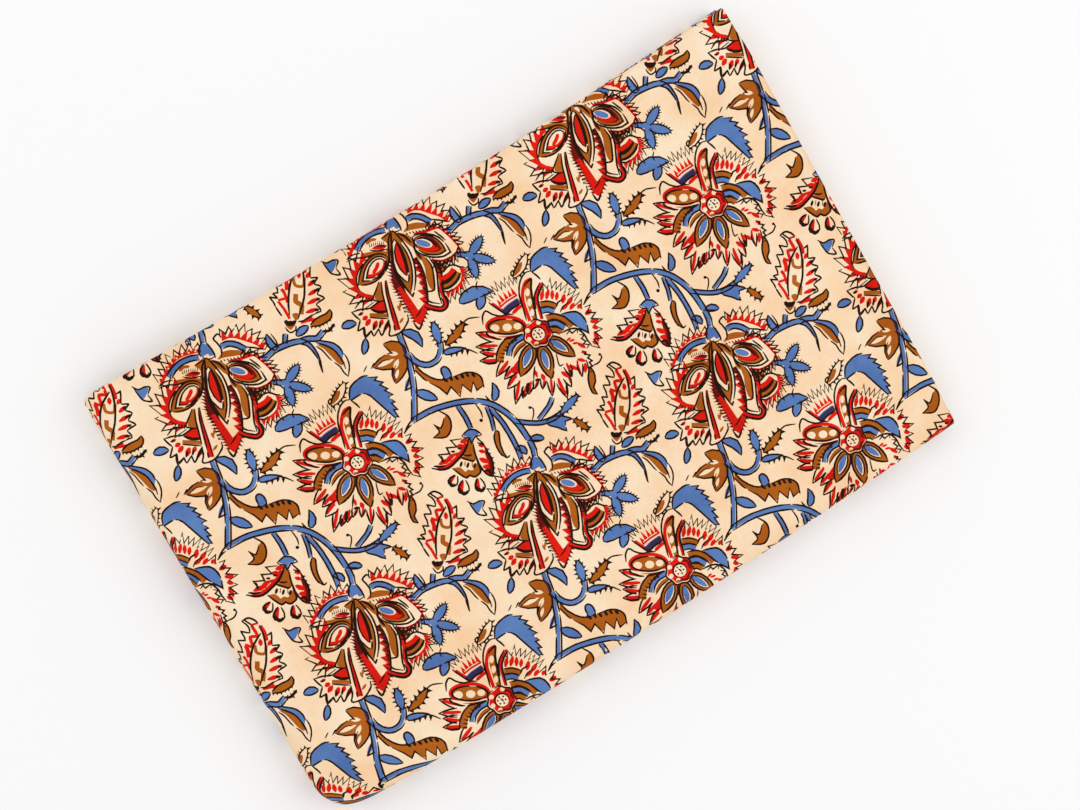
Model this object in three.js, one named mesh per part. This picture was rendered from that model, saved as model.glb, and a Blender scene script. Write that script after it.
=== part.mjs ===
// A length of printed cotton cloth, folded into a flat pack, in millimetres.
//
// The cloth is wound flat across its short side into a bundle of plies, and the bundle
// is then folded back on itself at its left end. The outermost ply therefore lies on top,
// turns down both long sides, goes round the left fold and lies underneath.
// +X runs along the long side to the free ends, +Y across it and +Z up.
// The origin is at the middle of the pack's footprint, on the surface it lies on.
import * as THREE from "three";
import { mergeVertices } from "three/addons/utils/BufferGeometryUtils.js";

// Driving sizes
const LENGTH = 450; // half of a cloth 0.9 m wide
const WIDTH = 293;
const PLY = 1.15; // one layer of cloth with the air it holds
const GAP = 0.45; // clear space between two layers
const PLIES = 8; // layers in the bundle, before it is folded back on itself
const FOLD_GAP = 1.0; // clear space between the two halves of the bundle

// Fineness of the facets
const STEPS_ACROSS = 7; // along one layer, from side to side, closer near the sides
const STEPS_IN_TURN = 6; // round each side turn
const STEPS_ALONG = 8; // along each half of the bundle
const STEPS_IN_FOLD = 8; // round the left fold

// How uneven the hand-folded pack lies
const LEAN = 0.03; // the ends lean over by this much for each mm across
const BOW = 4.6; // both long sides curve by this much towards -Y at mid-length
const SKEW = 0.006; // the under half is turned against the upper one, as a slope
const CORNER_ROUND = 24; // the radius of the soft corner at the fold, on the -Y side
const CORNER_REACH = 90; // how far along the pack that rounding fades out
const RIPPLE = 0.45; // the height of the waves in the top layers
const FREE_END_TAPER = 0.1; // the free end lies this share thinner than the fold
const FOLD_SQUARENESS = 2.6; // 2 is a round fold, more is a boxier one
const END_STAGGER = 1.6; // how far the layers' free ends step in and out
const INNER_END_SETBACK = { facingFold: 9, core: 14 }; // the cloth's two hidden edges

const PITCH = PLY + GAP;
const BUNDLE = PLIES * PITCH - GAP;
const HEIGHT = 2 * BUNDLE + FOLD_GAP;
const HALF_HEIGHT = HEIGHT / 2;
const FOLD_CENTRE_X = HALF_HEIGHT - LENGTH / 2;

const lerp = THREE.MathUtils.lerp;
const smooth = THREE.MathUtils.smoothstep;

// The order in which the cloth passes through the layers, counted from the outermost
// one as 0: starting at the layer that faces the fold gap, and winding inwards.
function windingOrder() {
  const order = [];
  for (let outer = 0, inner = PLIES - 1; outer <= inner; outer += 1, inner -= 1) {
    order.push(inner);
    if (outer !== inner) order.push(outer);
  }
  return order;
}

// The middle of a layer, as its depth below the bundle's outer face.
function depthOf(layer) {
  return layer * PITCH + PLY / 2;
}

// The line that the middle of the cloth follows, seen end on: x is across the pack and y
// is the depth. Each point holds its place and the direction in which the cloth runs.
function woundLine() {
  const order = windingOrder();
  const side = WIDTH / 2;
  const line = [];
  const add = (across, depth, angle) =>
    line.push({ at: new THREE.Vector2(across, depth), angle });
  const turnCentre = (layerA, layerB, sign) => {
    const outermost = sign < 0 ? depthOf(PLIES - 1) : depthOf(PLIES - 2);
    const widest = (outermost - depthOf(0)) / 2 + PLY / 2;
    return {
      across: sign * (side - widest),
      depth: (depthOf(layerA) + depthOf(layerB)) / 2,
    };
  };
  order.forEach((layer, index) => {
    const heading = index % 2 === 0 ? -1 : 1;
    const next = order[index + 1];
    const last = order[index - 1];
    const depth = depthOf(layer);
    const setback = index === 0 ? INNER_END_SETBACK.facingFold : INNER_END_SETBACK.core;
    const start = last === undefined
      ? -heading * (side - setback)
      : turnCentre(last, layer, -heading).across;
    const end = next === undefined
      ? heading * (side - setback)
      : turnCentre(layer, next, heading).across;
    const angle = heading > 0 ? 0 : Math.PI;
    for (let step = 0; step <= STEPS_ACROSS; step += 1) {
      const share = (1 - Math.cos((Math.PI * step) / STEPS_ACROSS)) / 2;
      add(lerp(start, end, share), depth, angle);
    }
    if (next === undefined) return;
    const centre = turnCentre(layer, next, heading);
    const radius = Math.abs(depthOf(next) - depth) / 2;
    const deeper = Math.sign(depthOf(next) - depth);
    for (let step = 1; step < STEPS_IN_TURN; step += 1) {
      const turned = (Math.PI * step) / STEPS_IN_TURN;
      const across = centre.across + heading * radius * Math.sin(turned);
      const turnDepth = centre.depth - deeper * radius * Math.cos(turned);
      const runs = new THREE.Vector2(heading * Math.cos(turned), deeper * Math.sin(turned));
      add(across, turnDepth, runs.angle());
    }
  });
  return line;
}

// The closed outline of the wound cloth, seen end on: out along one face of the cloth
// and back along the other.
function woundOutline() {
  const offset = (point, distance) => {
    const normal = new THREE.Vector2(-Math.sin(point.angle), Math.cos(point.angle));
    return point.at.clone().addScaledVector(normal, distance);
  };
  const line = woundLine();
  const oneFace = line.map((point) => offset(point, PLY / 2));
  const otherFace = line.map((point) => offset(point, -PLY / 2)).reverse();
  return new THREE.Shape([...oneFace, ...otherFace]);
}

// The sections along the pack, from the upper free end, round the fold, to the lower one.
function stations() {
  const freeEnd = LENGTH / 2;
  const sections = [];
  for (let step = 0; step < STEPS_ALONG; step += 1) {
    sections.push({ x: lerp(freeEnd, FOLD_CENTRE_X, step / STEPS_ALONG), turned: 0 });
  }
  for (let step = 0; step <= STEPS_IN_FOLD; step += 1) {
    sections.push({ x: FOLD_CENTRE_X, turned: (Math.PI * step) / STEPS_IN_FOLD });
  }
  for (let step = 1; step <= STEPS_ALONG; step += 1) {
    sections.push({ x: lerp(FOLD_CENTRE_X, freeEnd, step / STEPS_ALONG), turned: Math.PI });
  }
  return sections;
}

// Where a point of the bundle lies once the bundle is folded back on itself, with
// neat and even folds.
function foldedBack(across, depth, section) {
  const radius = HALF_HEIGHT - depth;
  const squared = (value) => Math.sign(value) * Math.abs(value) ** (2 / FOLD_SQUARENESS);
  const outwards = section.turned === 0 || section.turned === Math.PI
    ? 0
    : squared(Math.sin(section.turned));
  const upwards = squared(Math.cos(section.turned));
  return new THREE.Vector3(
    section.x - radius * outwards,
    across,
    HALF_HEIGHT + radius * upwards,
  );
}

// How far a layer's free end stands out from, or back behind, the pack's end. The side
// turns join the layers, so they all end alike there.
function stagger(across, depth, lower) {
  const layer = Math.round((depth - PLY / 2) / PITCH);
  const flat = 1 - smooth(Math.abs(across), WIDTH / 2 - 30, WIDTH / 2 - 12);
  return END_STAGGER * flat * Math.sin(layer * 2.4 + (lower ? 1.9 : 0.7));
}

// How far the fold is drawn in at its soft corner, on the -Y side.
function cornerPull(across) {
  const into = CORNER_ROUND - (across + WIDTH / 2);
  if (into <= 0) return 0;
  return CORNER_ROUND - Math.sqrt(Math.max(CORNER_ROUND ** 2 - into ** 2, 0));
}

// The neat pack made as uneven as a hand-folded one. Heights are only stretched, so the
// underside stays flat and the layers keep their order.
function laidByHand(point) {
  const along = (point.x + LENGTH / 2) / LENGTH;
  const up = point.z / HEIGHT;
  const wave = Math.sin(point.x / 47 + 0.6) * Math.cos(point.y / 39 - 0.4)
    + 0.6 * Math.sin(point.x / 83 - point.y / 61 + 1.3);
  const nearFold = 1 - smooth(point.x, -LENGTH / 2, CORNER_REACH - LENGTH / 2);
  return new THREE.Vector3(
    point.x + LEAN * point.y + cornerPull(point.y) * nearFold,
    point.y - BOW * (1 - (2 * along - 1) ** 2) + SKEW * point.x * (1 - 2 * up),
    point.z * (1 - FREE_END_TAPER * along + (RIPPLE * wave) / HEIGHT),
  );
}

function foldedClothGeometry() {
  const sections = stations();
  const spans = sections.length - 1;
  const solid = new THREE.ExtrudeGeometry(woundOutline(), {
    depth: spans,
    steps: spans,
    bevelEnabled: false,
  });
  solid.deleteAttribute("normal");
  solid.deleteAttribute("uv");
  const geometry = mergeVertices(solid, 1e-4);
  const places = geometry.getAttribute("position");
  for (let index = 0; index < places.count; index += 1) {
    const across = places.getX(index);
    const depth = places.getY(index);
    const number = Math.round(places.getZ(index));
    const section = sections[number];
    const point = foldedBack(across, depth, section);
    if (number === 0 || number === spans) point.x += stagger(across, depth, number > 0);
    const laid = laidByHand(point);
    places.setXYZ(index, laid.x, laid.y, laid.z);
  }
  geometry.computeBoundingBox();
  const { min, max } = geometry.boundingBox;
  geometry.translate(-(min.x + max.x) / 2, -(min.y + max.y) / 2, -min.z);
  geometry.computeVertexNormals();
  return geometry;
}

const printedCotton = new THREE.MeshStandardMaterial({
  name: "printed_cotton",
  color: new THREE.Color(0xf3d2ac),
  roughness: 0.9,
  metalness: 0,
});

const foldedCloth = new THREE.Mesh(foldedClothGeometry(), printedCotton);
foldedCloth.name = "folded_cloth";

const pack = new THREE.Group();
pack.name = "folded_printed_cloth";
pack.add(foldedCloth);

export default pack;
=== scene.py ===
"""A folded length of block-printed cotton, made for Blender 4.5 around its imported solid.

The cloth is one thin sheet that follows the solid's folds. It is laid out flat first, in
millimetres: x runs from the upper free end (length / 2) back to the soft fold and on to
the lower free end, and y along the line that the cloth is wound on. On the pack's top
face these are the pack's own x and y. The print is drawn on that flat cloth, so it runs
on round every fold, and each ink is a set of faces with a finish of its own.
"""

from __future__ import annotations

import logging
import math
from dataclasses import dataclass, field, replace
from enum import Enum

import bmesh
import bpy
import numpy as np
from mathutils import Matrix, Vector
from mathutils.geometry import delaunay_2d_cdt

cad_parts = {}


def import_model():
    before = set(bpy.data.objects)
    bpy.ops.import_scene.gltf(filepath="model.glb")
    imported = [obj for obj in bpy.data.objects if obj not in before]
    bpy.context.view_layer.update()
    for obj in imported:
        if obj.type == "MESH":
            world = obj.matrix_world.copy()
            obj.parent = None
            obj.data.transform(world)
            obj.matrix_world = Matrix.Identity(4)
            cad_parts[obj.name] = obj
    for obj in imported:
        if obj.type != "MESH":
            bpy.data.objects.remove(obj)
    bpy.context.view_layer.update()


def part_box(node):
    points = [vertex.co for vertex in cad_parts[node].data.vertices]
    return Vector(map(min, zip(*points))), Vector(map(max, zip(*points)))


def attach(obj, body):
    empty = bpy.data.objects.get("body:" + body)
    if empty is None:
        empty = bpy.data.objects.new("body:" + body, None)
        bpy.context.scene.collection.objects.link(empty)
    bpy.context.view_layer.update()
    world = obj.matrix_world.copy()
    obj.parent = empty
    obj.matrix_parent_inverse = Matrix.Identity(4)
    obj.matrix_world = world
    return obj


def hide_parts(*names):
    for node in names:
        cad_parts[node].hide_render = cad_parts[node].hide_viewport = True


NODE = "folded_cloth"
BODY = "root"
MM = 0.001
CARVING_SEED = 5

log = logging.getLogger("folded_cloth")


def smooth_between(value: np.ndarray, low: float, high: float) -> np.ndarray:
    """0 below low, 1 above high and an even S-curve between them."""
    share = np.clip((value - low) / (high - low), 0.0, 1.0)
    return share * share * (3 - 2 * share)


@dataclass
class FoldedPack:
    """The folds of the pack, with the sizes that its solid is built from, in millimetres."""

    length: float = 450.0
    width: float = 293.0
    ply: float = 1.15
    gap: float = 0.45
    plies: int = 8
    fold_gap: float = 1.0
    lean: float = 0.03
    bow: float = 4.6
    skew: float = 0.006
    corner_round: float = 24.0
    corner_reach: float = 90.0
    ripple: float = 0.45
    free_end_taper: float = 0.1
    fold_squareness: float = 2.6
    end_stagger: float = 1.6
    stagger_reach: float = 52.0
    first_setback: float = 9.0
    core_setback: float = 14.0

    def __post_init__(self) -> None:
        """Works out the wound line and the length of the fold."""
        self.pitch = self.ply + self.gap
        self.bundle = self.plies * self.pitch - self.gap
        self.height = 2 * self.bundle + self.fold_gap
        self.half_height = self.height / 2
        self.fold_centre = self.half_height - self.length / 2
        self.leg = self.length / 2 - self.fold_centre
        self.fold_turns = np.linspace(0.0, math.pi, 121)
        outer = self.squared(np.sin(self.fold_turns)) + 1j * self.squared(np.cos(self.fold_turns))
        steps = np.abs(np.diff(outer * self.half_height))
        self.fold_lengths = np.concatenate([[0.0], np.cumsum(steps)])
        self.low_x = self.length / 2 - 2 * self.leg - self.fold_lengths[-1]
        self.runs = self.wound_runs()
        self.low_y = float(self.runs["start"][0])
        self.high_y = float(self.runs["start"][-1] + self.runs["long"][-1])

    def squared(self, value: np.ndarray) -> np.ndarray:
        """A sine or cosine made boxier, as the section of the soft fold is."""
        return np.sign(value) * np.abs(value) ** (2 / self.fold_squareness)

    def depth_of(self, layer: int) -> float:
        """How deep the middle of a layer lies below the bundle's outer face."""
        return layer * self.pitch + self.ply / 2

    def winding_order(self) -> list[int]:
        """The layers in the order in which the cloth passes through them."""
        order: list[int] = []
        outer, inner = 0, self.plies - 1
        while outer <= inner:
            order.append(inner)
            if outer != inner:
                order.append(outer)
            outer, inner = outer + 1, inner - 1
        return order

    def wound_runs(self) -> dict[str, np.ndarray]:
        """The straight runs and half turns of the wound line.

        Returns:
            For each run its start on the flat cloth, its length, where it begins across
            the pack and in depth, its heading, and the radius and sense of its turn.
        """
        order = self.winding_order()
        side = self.width / 2

        def turn_across(sign: float) -> float:
            deepest = self.depth_of(self.plies - 1 if sign < 0 else self.plies - 2)
            return sign * (side - (deepest - self.depth_of(0)) / 2 - self.ply / 2)

        names = ("long", "across", "depth", "heading", "radius", "deeper")
        rows: list[tuple[float, ...]] = []
        for index, layer in enumerate(order):
            heading = -1.0 if index % 2 == 0 else 1.0
            first, last = index == 0, index == len(order) - 1
            start = -heading * (side - self.first_setback) if first else turn_across(-heading)
            end = heading * (side - self.core_setback) if last else turn_across(heading)
            depth = self.depth_of(layer)
            rows.append((abs(end - start), start, depth, heading, 0.0, 0.0))
            if not last:
                drop = self.depth_of(order[index + 1]) - depth
                radius = abs(drop) / 2
                rows.append((math.pi * radius, end, depth, heading, radius, np.sign(drop)))
        runs = {name: np.array(column) for name, column in zip(names, zip(*rows))}
        starts = np.concatenate([[0.0], np.cumsum(runs["long"])[:-1]])
        outer_ply = 2 * order.index(0)
        runs["start"] = starts - starts[outer_ply] + runs["across"][outer_ply]
        return runs

    def section_at(self, y: np.ndarray, lift: float) -> tuple[np.ndarray, np.ndarray, np.ndarray]:
        """Where the flat cloth's y lies in the section across the pack.

        Args:
            y: Places along the wound line.
            lift: How far outwards from the middle of the cloth, on its printed side.

        Returns:
            The place across, the depth, and how flat the cloth lies there, from 0 to 1.
        """
        runs = self.runs
        which = np.clip(np.searchsorted(runs["start"], y, side="right") - 1, 0,
                        len(runs["start"]) - 1)
        along = y - runs["start"][which]
        across, depth = runs["across"][which], runs["depth"][which]
        heading, radius, deeper = (runs[name][which] for name in ("heading", "radius", "deeper"))
        straight = radius == 0
        angle = np.where(straight, 0.0, along / np.where(straight, 1.0, radius))
        outwards = heading * deeper
        reach = radius + np.where(straight, 0.0, outwards * lift)
        flat_across = across + heading * along
        flat_depth = depth - heading * lift
        turned_across = across + heading * reach * np.sin(angle)
        turned_depth = depth + deeper * radius - deeper * reach * np.cos(angle)
        return (np.where(straight, flat_across, turned_across),
                np.where(straight, flat_depth, turned_depth),
                np.where(straight, 1.0, 0.0))

    def place(self, x: np.ndarray, y: np.ndarray, lift: float) -> np.ndarray:
        """Where spots of the flat cloth lie in the folded pack, before it is centred.

        Args:
            x: Places along the flat cloth.
            y: Places along the wound line.
            lift: How far from the middle of the cloth, on its printed side.

        Returns:
            One row of x, y and z for each spot, in millimetres.
        """
        across, depth, flat = self.section_at(y, lift)
        gone = self.length / 2 - x
        into_fold = np.clip(gone - self.leg, 0.0, self.fold_lengths[-1])
        turned = np.interp(into_fold, self.fold_lengths, self.fold_turns)
        lower = gone > self.leg + self.fold_lengths[-1] / 2
        back = gone - self.fold_lengths[-1] - self.leg
        along = np.where(lower, self.fold_centre + np.maximum(back, 0.0),
                         self.length / 2 - np.minimum(gone, self.leg))
        radius = self.half_height - depth
        along = along - radius * self.squared(np.clip(np.sin(turned), 0.0, 1.0))
        up = self.half_height + radius * self.squared(np.cos(turned))
        along = along + self.stagger(along, across, depth, lower) * flat
        return self.laid_by_hand(along, across, up)

    def stagger(self, along: np.ndarray, across: np.ndarray, depth: np.ndarray,
                lower: np.ndarray) -> np.ndarray:
        """How far a layer's free end stands out from the others."""
        layer = np.round((depth - self.ply / 2) / self.pitch)
        flat = 1 - smooth_between(np.abs(across), self.width / 2 - 30, self.width / 2 - 12)
        near_end = smooth_between(along, self.length / 2 - self.stagger_reach, self.length / 2)
        return (self.end_stagger * flat * near_end
                * np.sin(layer * 2.4 + np.where(lower, 1.9, 0.7)))

    def corner_pull(self, across: np.ndarray) -> np.ndarray:
        """How far the fold is drawn in at its soft corner, on the -Y side."""
        into = np.clip(self.corner_round - (across + self.width / 2), 0.0, self.corner_round)
        return self.corner_round - np.sqrt(self.corner_round ** 2 - into ** 2)

    def laid_by_hand(self, x: np.ndarray, y: np.ndarray, z: np.ndarray) -> np.ndarray:
        """A neat pack made as uneven as its solid is."""
        along = (x + self.length / 2) / self.length
        up = z / self.height
        wave = (np.sin(x / 47 + 0.6) * np.cos(y / 39 - 0.4)
                + 0.6 * np.sin(x / 83 - y / 61 + 1.3))
        near_fold = 1 - smooth_between(x, -self.length / 2, self.corner_reach - self.length / 2)
        return np.stack([
            x + self.lean * y + self.corner_pull(y) * near_fold,
            y - self.bow * (1 - (2 * along - 1) ** 2) + self.skew * x * (1 - 2 * up),
            z * (1 - self.free_end_taper * along + self.ripple * wave / self.height),
        ], axis=-1)

    def centring(self) -> np.ndarray:
        """The shift that puts the middle of the pack's footprint at the origin."""
        low, high = (np.array(corner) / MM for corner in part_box(NODE))
        x, y = np.meshgrid(np.linspace(self.low_x, self.length / 2, 400),
                           np.linspace(self.low_y, self.high_y, 900))
        spots = self.place(x.ravel(), y.ravel(), self.ply / 2)
        middle = (spots.min(axis=0) + spots.max(axis=0)) / 2
        shift = (low + high) / 2 - middle
        shift[2] = 0.0
        return shift


Path = np.ndarray
CLOTH_MAP = "cloth"
BAKE_MAP = "OFBake"


class Ink(Enum):
    """The inks of the print, each one a bit in the code of what is printed at a spot."""

    BROWN = 1
    BLUE = 2
    RED = 4
    DARK = 8


class Tint(Enum):
    """What a spot of the cloth shows, in the order of the material slots."""

    GROUND = 0
    BROWN = 1
    BLUE = 2
    RED = 3
    MAROON = 4
    INDIGO = 5
    DARK = 6


ALL_INKS = sum(ink.value for ink in Ink)


def tint_of(code: int) -> Tint:
    """What the inks of a code show when they are printed over each other."""
    if code & Ink.DARK.value:
        return Tint.DARK
    if code & Ink.BLUE.value:
        return Tint.BLUE if code == Ink.BLUE.value else Tint.INDIGO
    if code & Ink.RED.value:
        return Tint.RED if code == Ink.RED.value else Tint.MAROON
    return Tint.BROWN if code else Tint.GROUND


SHOWN = {code: tint_of(code) for code in range(ALL_INKS + 1)}


def curve(*points: complex, step: float = 2.4, closed: bool = False) -> Path:
    """A smooth curve through a few points of the block.

    Args:
        points: The points to pass through, as complex numbers, x across and y up.
        step: About how far apart the curve's own points lie.
        closed: Whether the curve runs back to its start.

    Returns:
        The curve's points.
    """
    knots = np.asarray(points, complex)
    if closed:
        padded = np.concatenate([knots[-1:], knots, knots[:2]])
    else:
        before, after = 2 * knots[:1] - knots[1:2], 2 * knots[-1:] - knots[-2:-1]
        padded = np.concatenate([before, knots, after])
    spans = []
    for a, b, c, d in zip(padded, padded[1:], padded[2:], padded[3:]):
        count = max(1, math.ceil(abs(c - b) / step))
        t = np.arange(count) / count
        spans.append(b + (c - a) * t / 2 + (2 * a - 5 * b + 4 * c - d) * t**2 / 2
                     + (3 * b - a - 3 * c + d) * t**3 / 2)
    if not closed:
        spans.append(knots[-1:])
    return np.concatenate(spans)


def lengths(path: Path) -> np.ndarray:
    """How far along the path each of its points lies."""
    return np.concatenate([[0.0], np.cumsum(np.abs(np.diff(path)))])


def at_share(path: Path, share: np.ndarray | float) -> Path:
    """The points that lie at these shares of the path's length."""
    along = lengths(path)
    where = np.asarray(share) * along[-1]
    return np.interp(where, along, path.real) + 1j * np.interp(where, along, path.imag)


def part(path: Path, start: float, end: float) -> Path:
    """The stretch of a path between two shares of its length."""
    share = lengths(path) / lengths(path)[-1]
    inner = path[(share > start + 1e-6) & (share < end - 1e-6)]
    return np.concatenate([[at_share(path, start)], inner, [at_share(path, end)]])


def heading(path: Path) -> Path:
    """The unit direction of the path at each of its points."""
    steps = np.diff(path)
    steps = steps / np.maximum(np.abs(steps), 1e-9)
    turned = np.concatenate([steps[:1], steps[:-1] + steps[1:], steps[-1:]])
    size = np.abs(turned)
    ahead = np.concatenate([steps, steps[-1:]])
    return np.where(size > 0.2, turned / np.maximum(size, 1e-9), ahead)


def heading_at(path: Path, share: np.ndarray) -> Path:
    """The unit direction of the path at these shares of its length."""
    nudge = 0.01
    way = at_share(path, np.minimum(share + nudge, 1)) - at_share(path, np.maximum(share - nudge, 0))
    return way / np.maximum(np.abs(way), 1e-9)


def beside(path: Path, distance: np.ndarray | float) -> Path:
    """The path moved to its left by a distance, with its corners kept."""
    way = heading(path)
    steps = np.diff(path)
    steps = steps / np.maximum(np.abs(steps), 1e-9)
    first = np.concatenate([steps[:1], steps])
    bend = np.clip((way * np.conj(first)).real, 0.6, 1.0)
    return path + 1j * way * distance / bend


def ribbon(path: Path, width: np.ndarray | float) -> Path:
    """The closed edge of a band of some width drawn along a path."""
    half = np.broadcast_to(np.asarray(width, float) / 2, path.shape)
    return np.concatenate([beside(path, half), beside(path, -half)[::-1]])


def loop(*sides: Path) -> Path:
    """Joins sides, end to end, into one closed edge."""
    return np.concatenate([np.atleast_1d(side) for side in sides])


def ring(centre: complex, radius: float, points: int = 12, tall: float = 1.0,
         turn: float = 0.0) -> Path:
    """An ellipse, with its height as a multiple of its width, turned by some degrees."""
    angle = 2 * math.pi * np.arange(points) / points
    return centre + turned(turn) * radius * (np.cos(angle) + 1j * tall * np.sin(angle))


def turned(degrees: float) -> complex:
    """A turn by some degrees, as a complex number."""
    return complex(math.cos(math.radians(degrees)), math.sin(math.radians(degrees)))


def toothed(path: Path, teeth: int, height: float, lean: float = 0.3, swell: float = 0.4) -> Path:
    """A row of pointed teeth on the left of a path.

    Args:
        path: The edge that the teeth stand on.
        teeth: How many there are.
        height: How far a full tooth stands out.
        lean: How far each tip leans on along the path, as a share of the tooth's width.
        swell: How much lower the teeth are at both ends than in the middle, as a share.

    Returns:
        The zigzag from the path's start to its end.
    """
    count = np.arange(teeth)
    middle = (count + 0.5) / teeth
    tip_share = np.clip(middle + lean / teeth, 0, 1)
    size = height * (1 - swell * (2 * middle - 1) ** 2) * (1 + 0.2 * np.sin(count * 2.3 + teeth))
    tips = at_share(path, tip_share) + 1j * heading_at(path, tip_share) * size
    zigzag = np.stack([at_share(path, count / teeth), tips], axis=1).ravel()
    return np.concatenate([zigzag, path[-1:]])


def petal(base: complex, tip: complex, width: float, bend: float = 0.0, belly: float = 0.45,
          steps: int = 6) -> tuple[Path, Path]:
    """The two sides of a leaf or petal.

    Args:
        base: Where it grows from.
        tip: Its point.
        width: Its greatest width.
        bend: How far its middle line bows to the left, as a share of its length.
        belly: Where it is widest, as a share of its length.
        steps: How many spans each side has.

    Returns:
        Its left and right side, both from the base to the tip.
    """
    t = (1 - np.cos(np.linspace(0, math.pi, steps + 1))) / 2
    axis = tip - base
    middle = base + axis * t + 1j * axis * bend * np.sin(math.pi * t)
    rise, fall = 1.5 * belly, 1.5 * (1 - belly)
    swell = t**rise * (1 - t)**fall / (belly**rise * (1 - belly)**fall)
    half = 1j * heading(middle) * width / 2 * swell
    return middle + half, middle - half


@dataclass
class Patch:
    """A closed shape of one ink on the block, which prints or is left clear."""

    edge: Path
    ink: Ink
    prints: bool = True


@dataclass
class Block:
    """A printing block that is being carved, seen from the place of one motif.

    A long line is carved in runs with a gap after each. Often a second run follows at once,
    and always where less than last_break is left. A rest shorter than least_rest joins on.
    """

    patches: list[Patch] = field(default_factory=list)
    place: complex = 0j
    line_width: float = 1.85
    blunt: float = 0.5
    run: tuple[float, float] = (18.0, 46.0)
    second_run: tuple[float, float] = (10.0, 40.0)
    gap: tuple[float, float] = (1.2, 2.6)
    last_break: float = 8.0
    least_rest: float = 6.0
    least_line: float = 1.0
    rng: np.random.Generator = field(default_factory=lambda: np.random.default_rng(CARVING_SEED))

    def at(self, place: complex) -> Block:
        """The same block seen from another place, so that a motif is carved there."""
        return replace(self, place=self.place + place)

    def put(self, edge: Path, ink: Ink, prints: bool = True) -> None:
        """Carves one shape."""
        self.patches.append(Patch(self.place + np.asarray(edge), ink, prints))

    def fill(self, ink: Ink, *sides: Path) -> None:
        """Prints one ink inside an edge made of these sides."""
        self.put(loop(*sides), ink)

    def clear(self, inks: tuple[Ink, ...], *sides: Path) -> None:
        """Keeps some inks out of an edge made of these sides."""
        for ink in inks:
            self.put(loop(*sides), ink, prints=False)

    def stroke(self, path: Path, width: float = 1.0, ink: Ink = Ink.DARK) -> None:
        """Draws one brush stroke, thinner towards both its ends.

        Args:
            path: Where it runs.
            width: Its width as a multiple of the block's usual line.
            ink: Its ink.
        """
        share = lengths(path) / max(lengths(path)[-1], 1e-9)
        swell = np.minimum(self.blunt + 3 * share, self.blunt + 3 * (1 - share))
        self.put(ribbon(path, width * self.line_width * np.minimum(1.0, swell)), ink)

    def line(self, path: Path, width: float = 1.0, broken: float = 0.3) -> None:
        """Draws a long dark line as a worn block prints it, with a break here and there.

        Args:
            path: Where it runs.
            width: Its width as a multiple of the block's usual line.
            broken: How likely it is to break at each chance, from 0 to 1.
        """
        total = lengths(path)[-1]
        start = 0.0
        while start < total - self.least_line:
            end = min(start + self.rng.uniform(*self.run), total)
            if total - end < self.last_break or self.rng.uniform() > broken:
                end = min(end + self.rng.uniform(*self.second_run), total)
            if total - end < self.least_rest:
                end = total
            self.stroke(part(path, start / total, end / total), width)
            start = end + self.rng.uniform(*self.gap)

    def lines(self, *rows: tuple[complex, ...]) -> None:
        """Draws long lines, each from its width and the points that it runs through."""
        for width, *points in rows:
            self.line(curve(*points), width)

    def strokes(self, *rows: tuple[complex, ...]) -> None:
        """Draws brush strokes, each from its width and the points that it runs through."""
        for width, *points in rows:
            self.stroke(curve(*points), width)

    def lined(self, ink: Ink, path: Path, width: float, *sides: tuple[float, float]) -> None:
        """Carves a band with dark lines beside it, each from its distance and its width."""
        self.put(ribbon(path, width), ink)
        for distance, thick in sides:
            self.line(beside(path, distance), thick)

    def edged(self, ink: Ink, *sides: Path) -> None:
        """Prints one ink inside these sides, with a dark line along each."""
        self.fill(ink, *sides)
        for side in sides:
            self.line(side)

    def leaf(self, ink: Ink, base: complex, tip: complex, width: float, bend: float = 0.0,
             belly: float = 0.45) -> None:
        """Carves a plain leaf: one ink with a dark line along each side.

        Args:
            ink: Its ink.
            base: Where it grows from.
            tip: Its point.
            width: Its greatest width.
            bend: How far it bows to the left, as a share of its length.
            belly: Where it is widest, as a share of its length.
        """
        inner = petal(base, tip, width * 0.86, bend, belly)
        left, right = petal(base, tip, width, bend, belly)
        self.fill(ink, inner[0], inner[1][::-1])
        self.line(left)
        self.line(right)

    def feather(self, ink: Ink, base: complex, tip: complex, width: float, thorns: int,
                height: float, bend: float = 0.0) -> None:
        """Carves a leaf with dark thorns along both sides, of the same sizes as a plain one."""
        left, right = petal(base, tip, width, bend, 0.5)
        self.fill(ink, left, right[::-1])
        self.line(part(left, 0.0, 0.5), 0.8)
        self.line(part(right, 0.0, 0.5), 0.8)
        self.thorns(left, thorns, height)
        self.thorns(right[::-1], thorns, height, -0.3)
        self.stroke(part(left, 0.55, 1.0), 0.9)
        self.stroke(part(right, 0.55, 1.0), 0.9)

    def stem(self, path: Path, width: float) -> None:
        """Carves a stem: a blue band between two dark lines."""
        self.put(ribbon(path, width * 0.72), Ink.BLUE)
        self.line(beside(path, width / 2))
        self.line(beside(path, -width / 2))

    def dash(self, ink: Ink, start: complex, end: complex, width: float,
             bend: float = 0.0) -> None:
        """Carves one soft brush mark, with no line round it."""
        left, right = petal(start, end, width, bend, 0.5, 4)
        self.fill(ink, left, right[::-1])

    def dabs(self, ink: Ink, *rows: tuple[complex, complex, float]) -> None:
        """Carves soft brush marks, each from its start, its end and its width."""
        for start, end, width in rows:
            self.dash(ink, start, end, width)

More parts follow.
